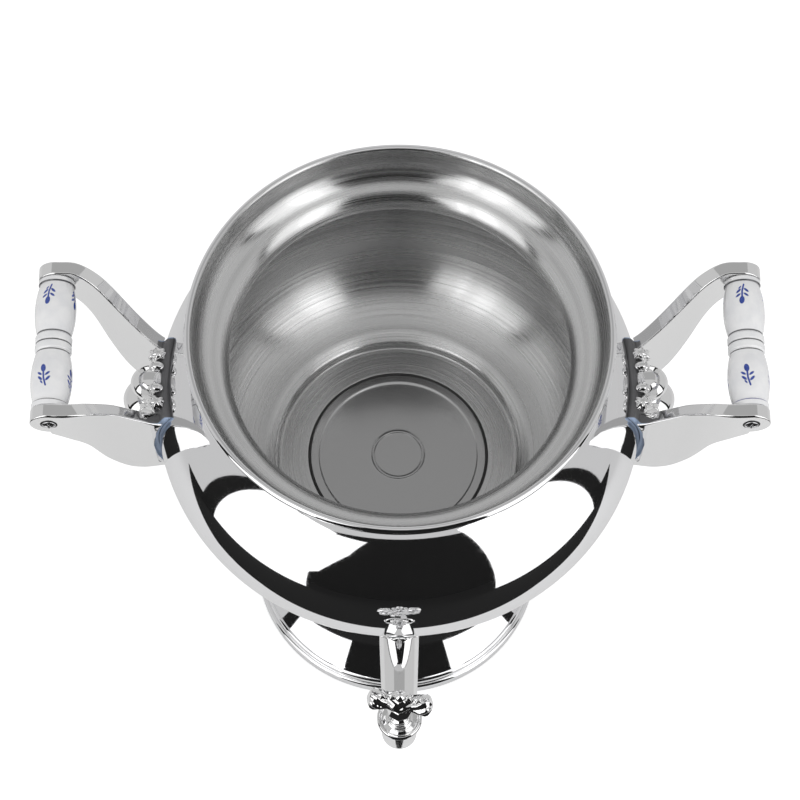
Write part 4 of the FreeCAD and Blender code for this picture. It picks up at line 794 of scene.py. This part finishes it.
for side, word, offset, end_line in ((-1, "left", -15.0, (0.055, 0.055, 0.06, 1)),
                                     (1, "right", -10.0, (0.012, 0.028, 0.25, 1))):
    grid = turned_grid(grip_profile, 216)
    laid = np.stack([side * GRIP_X + grid[..., 0], GRIP_LENGTH / 2 - grid[..., 2],
                     GRIP_Z + grid[..., 1]], -1)
    grip = surface("handle_grip_" + word, laid, True, porcelain("porcelain_" + word, end_line), "samovar",
                   "grip_" + word)
    places = np.zeros(len(grip.data.vertices) * 3)
    grip.data.vertices.foreach_get("co", places)
    x, y, z = places.reshape(-1, 3).T / MM
    around = np.degrees(np.arctan2(x - side * GRIP_X, z - GRIP_Z)) - offset
    step = 360.0 / SPRIGS
    around = np.radians((around + step / 2) % step - step / 2) * BARREL
    from_end = GRIP_LENGTH / 2 - np.abs(y)
    paint = sprig_distance(around, from_end - np.where(y > 0, REAR_SPRIG, FRONT_SPRIG))
    paint = np.where(np.hypot(x - side * GRIP_X, z - GRIP_Z) < INNER, FAR, paint)
    end_ring = np.abs(from_end - END_GROOVE)
    rings = np.minimum(np.abs(from_end - PAIR_GROOVE), np.abs(from_end - MIDDLE_GROOVE))
    rings = np.minimum(rings, np.where(y > 0, end_ring, FAR)) - GROOVE_HALF
    end_field = np.where(y < 0, end_ring, FAR) - GROOVE_HALF
    for attribute, values in (("sprig", paint), ("groove", rings), ("end_groove", end_field)):
        grip.data.attributes.new(attribute, "FLOAT", "POINT").data.foreach_set("value", values)

# What shows as it was drawn: nuts and studs, the base sheet and its pads, the mains inlet with its
# pins, and the heater with its wiring. Each has the finish of what it is made of, and so does each
# drawn piece that a finer one stands in for.
seat_silicone = grained("seat_silicone", (0.40, 0.50, 0.62), 0.38, 1800.0, 0.00003)
tree = seat_silicone.node_tree
shader = tree.nodes["Principled BSDF"]
shader.inputs["Transmission Weight"].default_value = 0.15
shader.inputs["Coat Weight"].default_value = 0.2
spread(tree, add_noise(tree, 60.0).outputs["Fac"], 0.3, 0.48, shader.inputs["Roughness"])
bright_steel = polished("bright_steel", (0.66, 0.66, 0.67), 0.2, 0.25)
drawn_brass = polished("drawn_brass", (0.72, 0.52, 0.22), 0.2, 0.3)
cast_aluminium = polished("cast_aluminium", (0.62, 0.63, 0.64), 0.6, 0.5)
base_sheet = polished("base_sheet", (0.50, 0.50, 0.51), 0.3, 0.4)


def moulded(name, colour, roughness, scale, depth):
    """Plastic, rubber or plain glaze: a fine grain, and a gloss that a broad noise moves up and down."""
    material = grained(name, colour, roughness, scale, depth, strength=0.4)
    tree = material.node_tree
    spread(tree, add_noise(tree, 120.0).outputs["Fac"], roughness - 0.06, roughness + 0.06,
           tree.nodes["Principled BSDF"].inputs["Roughness"])
    return material


black_plastic = moulded("black_plastic", (0.025, 0.025, 0.027), 0.45, 3000.0, 0.00003)
black_rubber = moulded("black_rubber", (0.03, 0.03, 0.03), 0.7, 1500.0, 0.00005)
white_glaze = moulded("white_glaze", (0.85, 0.855, 0.865), 0.14, 1500.0, 0.00001)
finishes = {"silicone": seat_silicone, "steel": bright_steel, "brass": drawn_brass,
            "aluminium": cast_aluminium, "base_sheet": base_sheet, "dark_plastic": black_plastic,
            "dark_rubber": black_rubber, "polished_shell": chrome_shell,
            "polished_casting": chrome_cast, "porcelain": white_glaze, "floor_plate": plate_steel}
for part in frame["record"]["subparts"]:
    held = nodes[part["node"]].data.materials
    held.clear()
    held.append(finishes[part["material_slot"]])
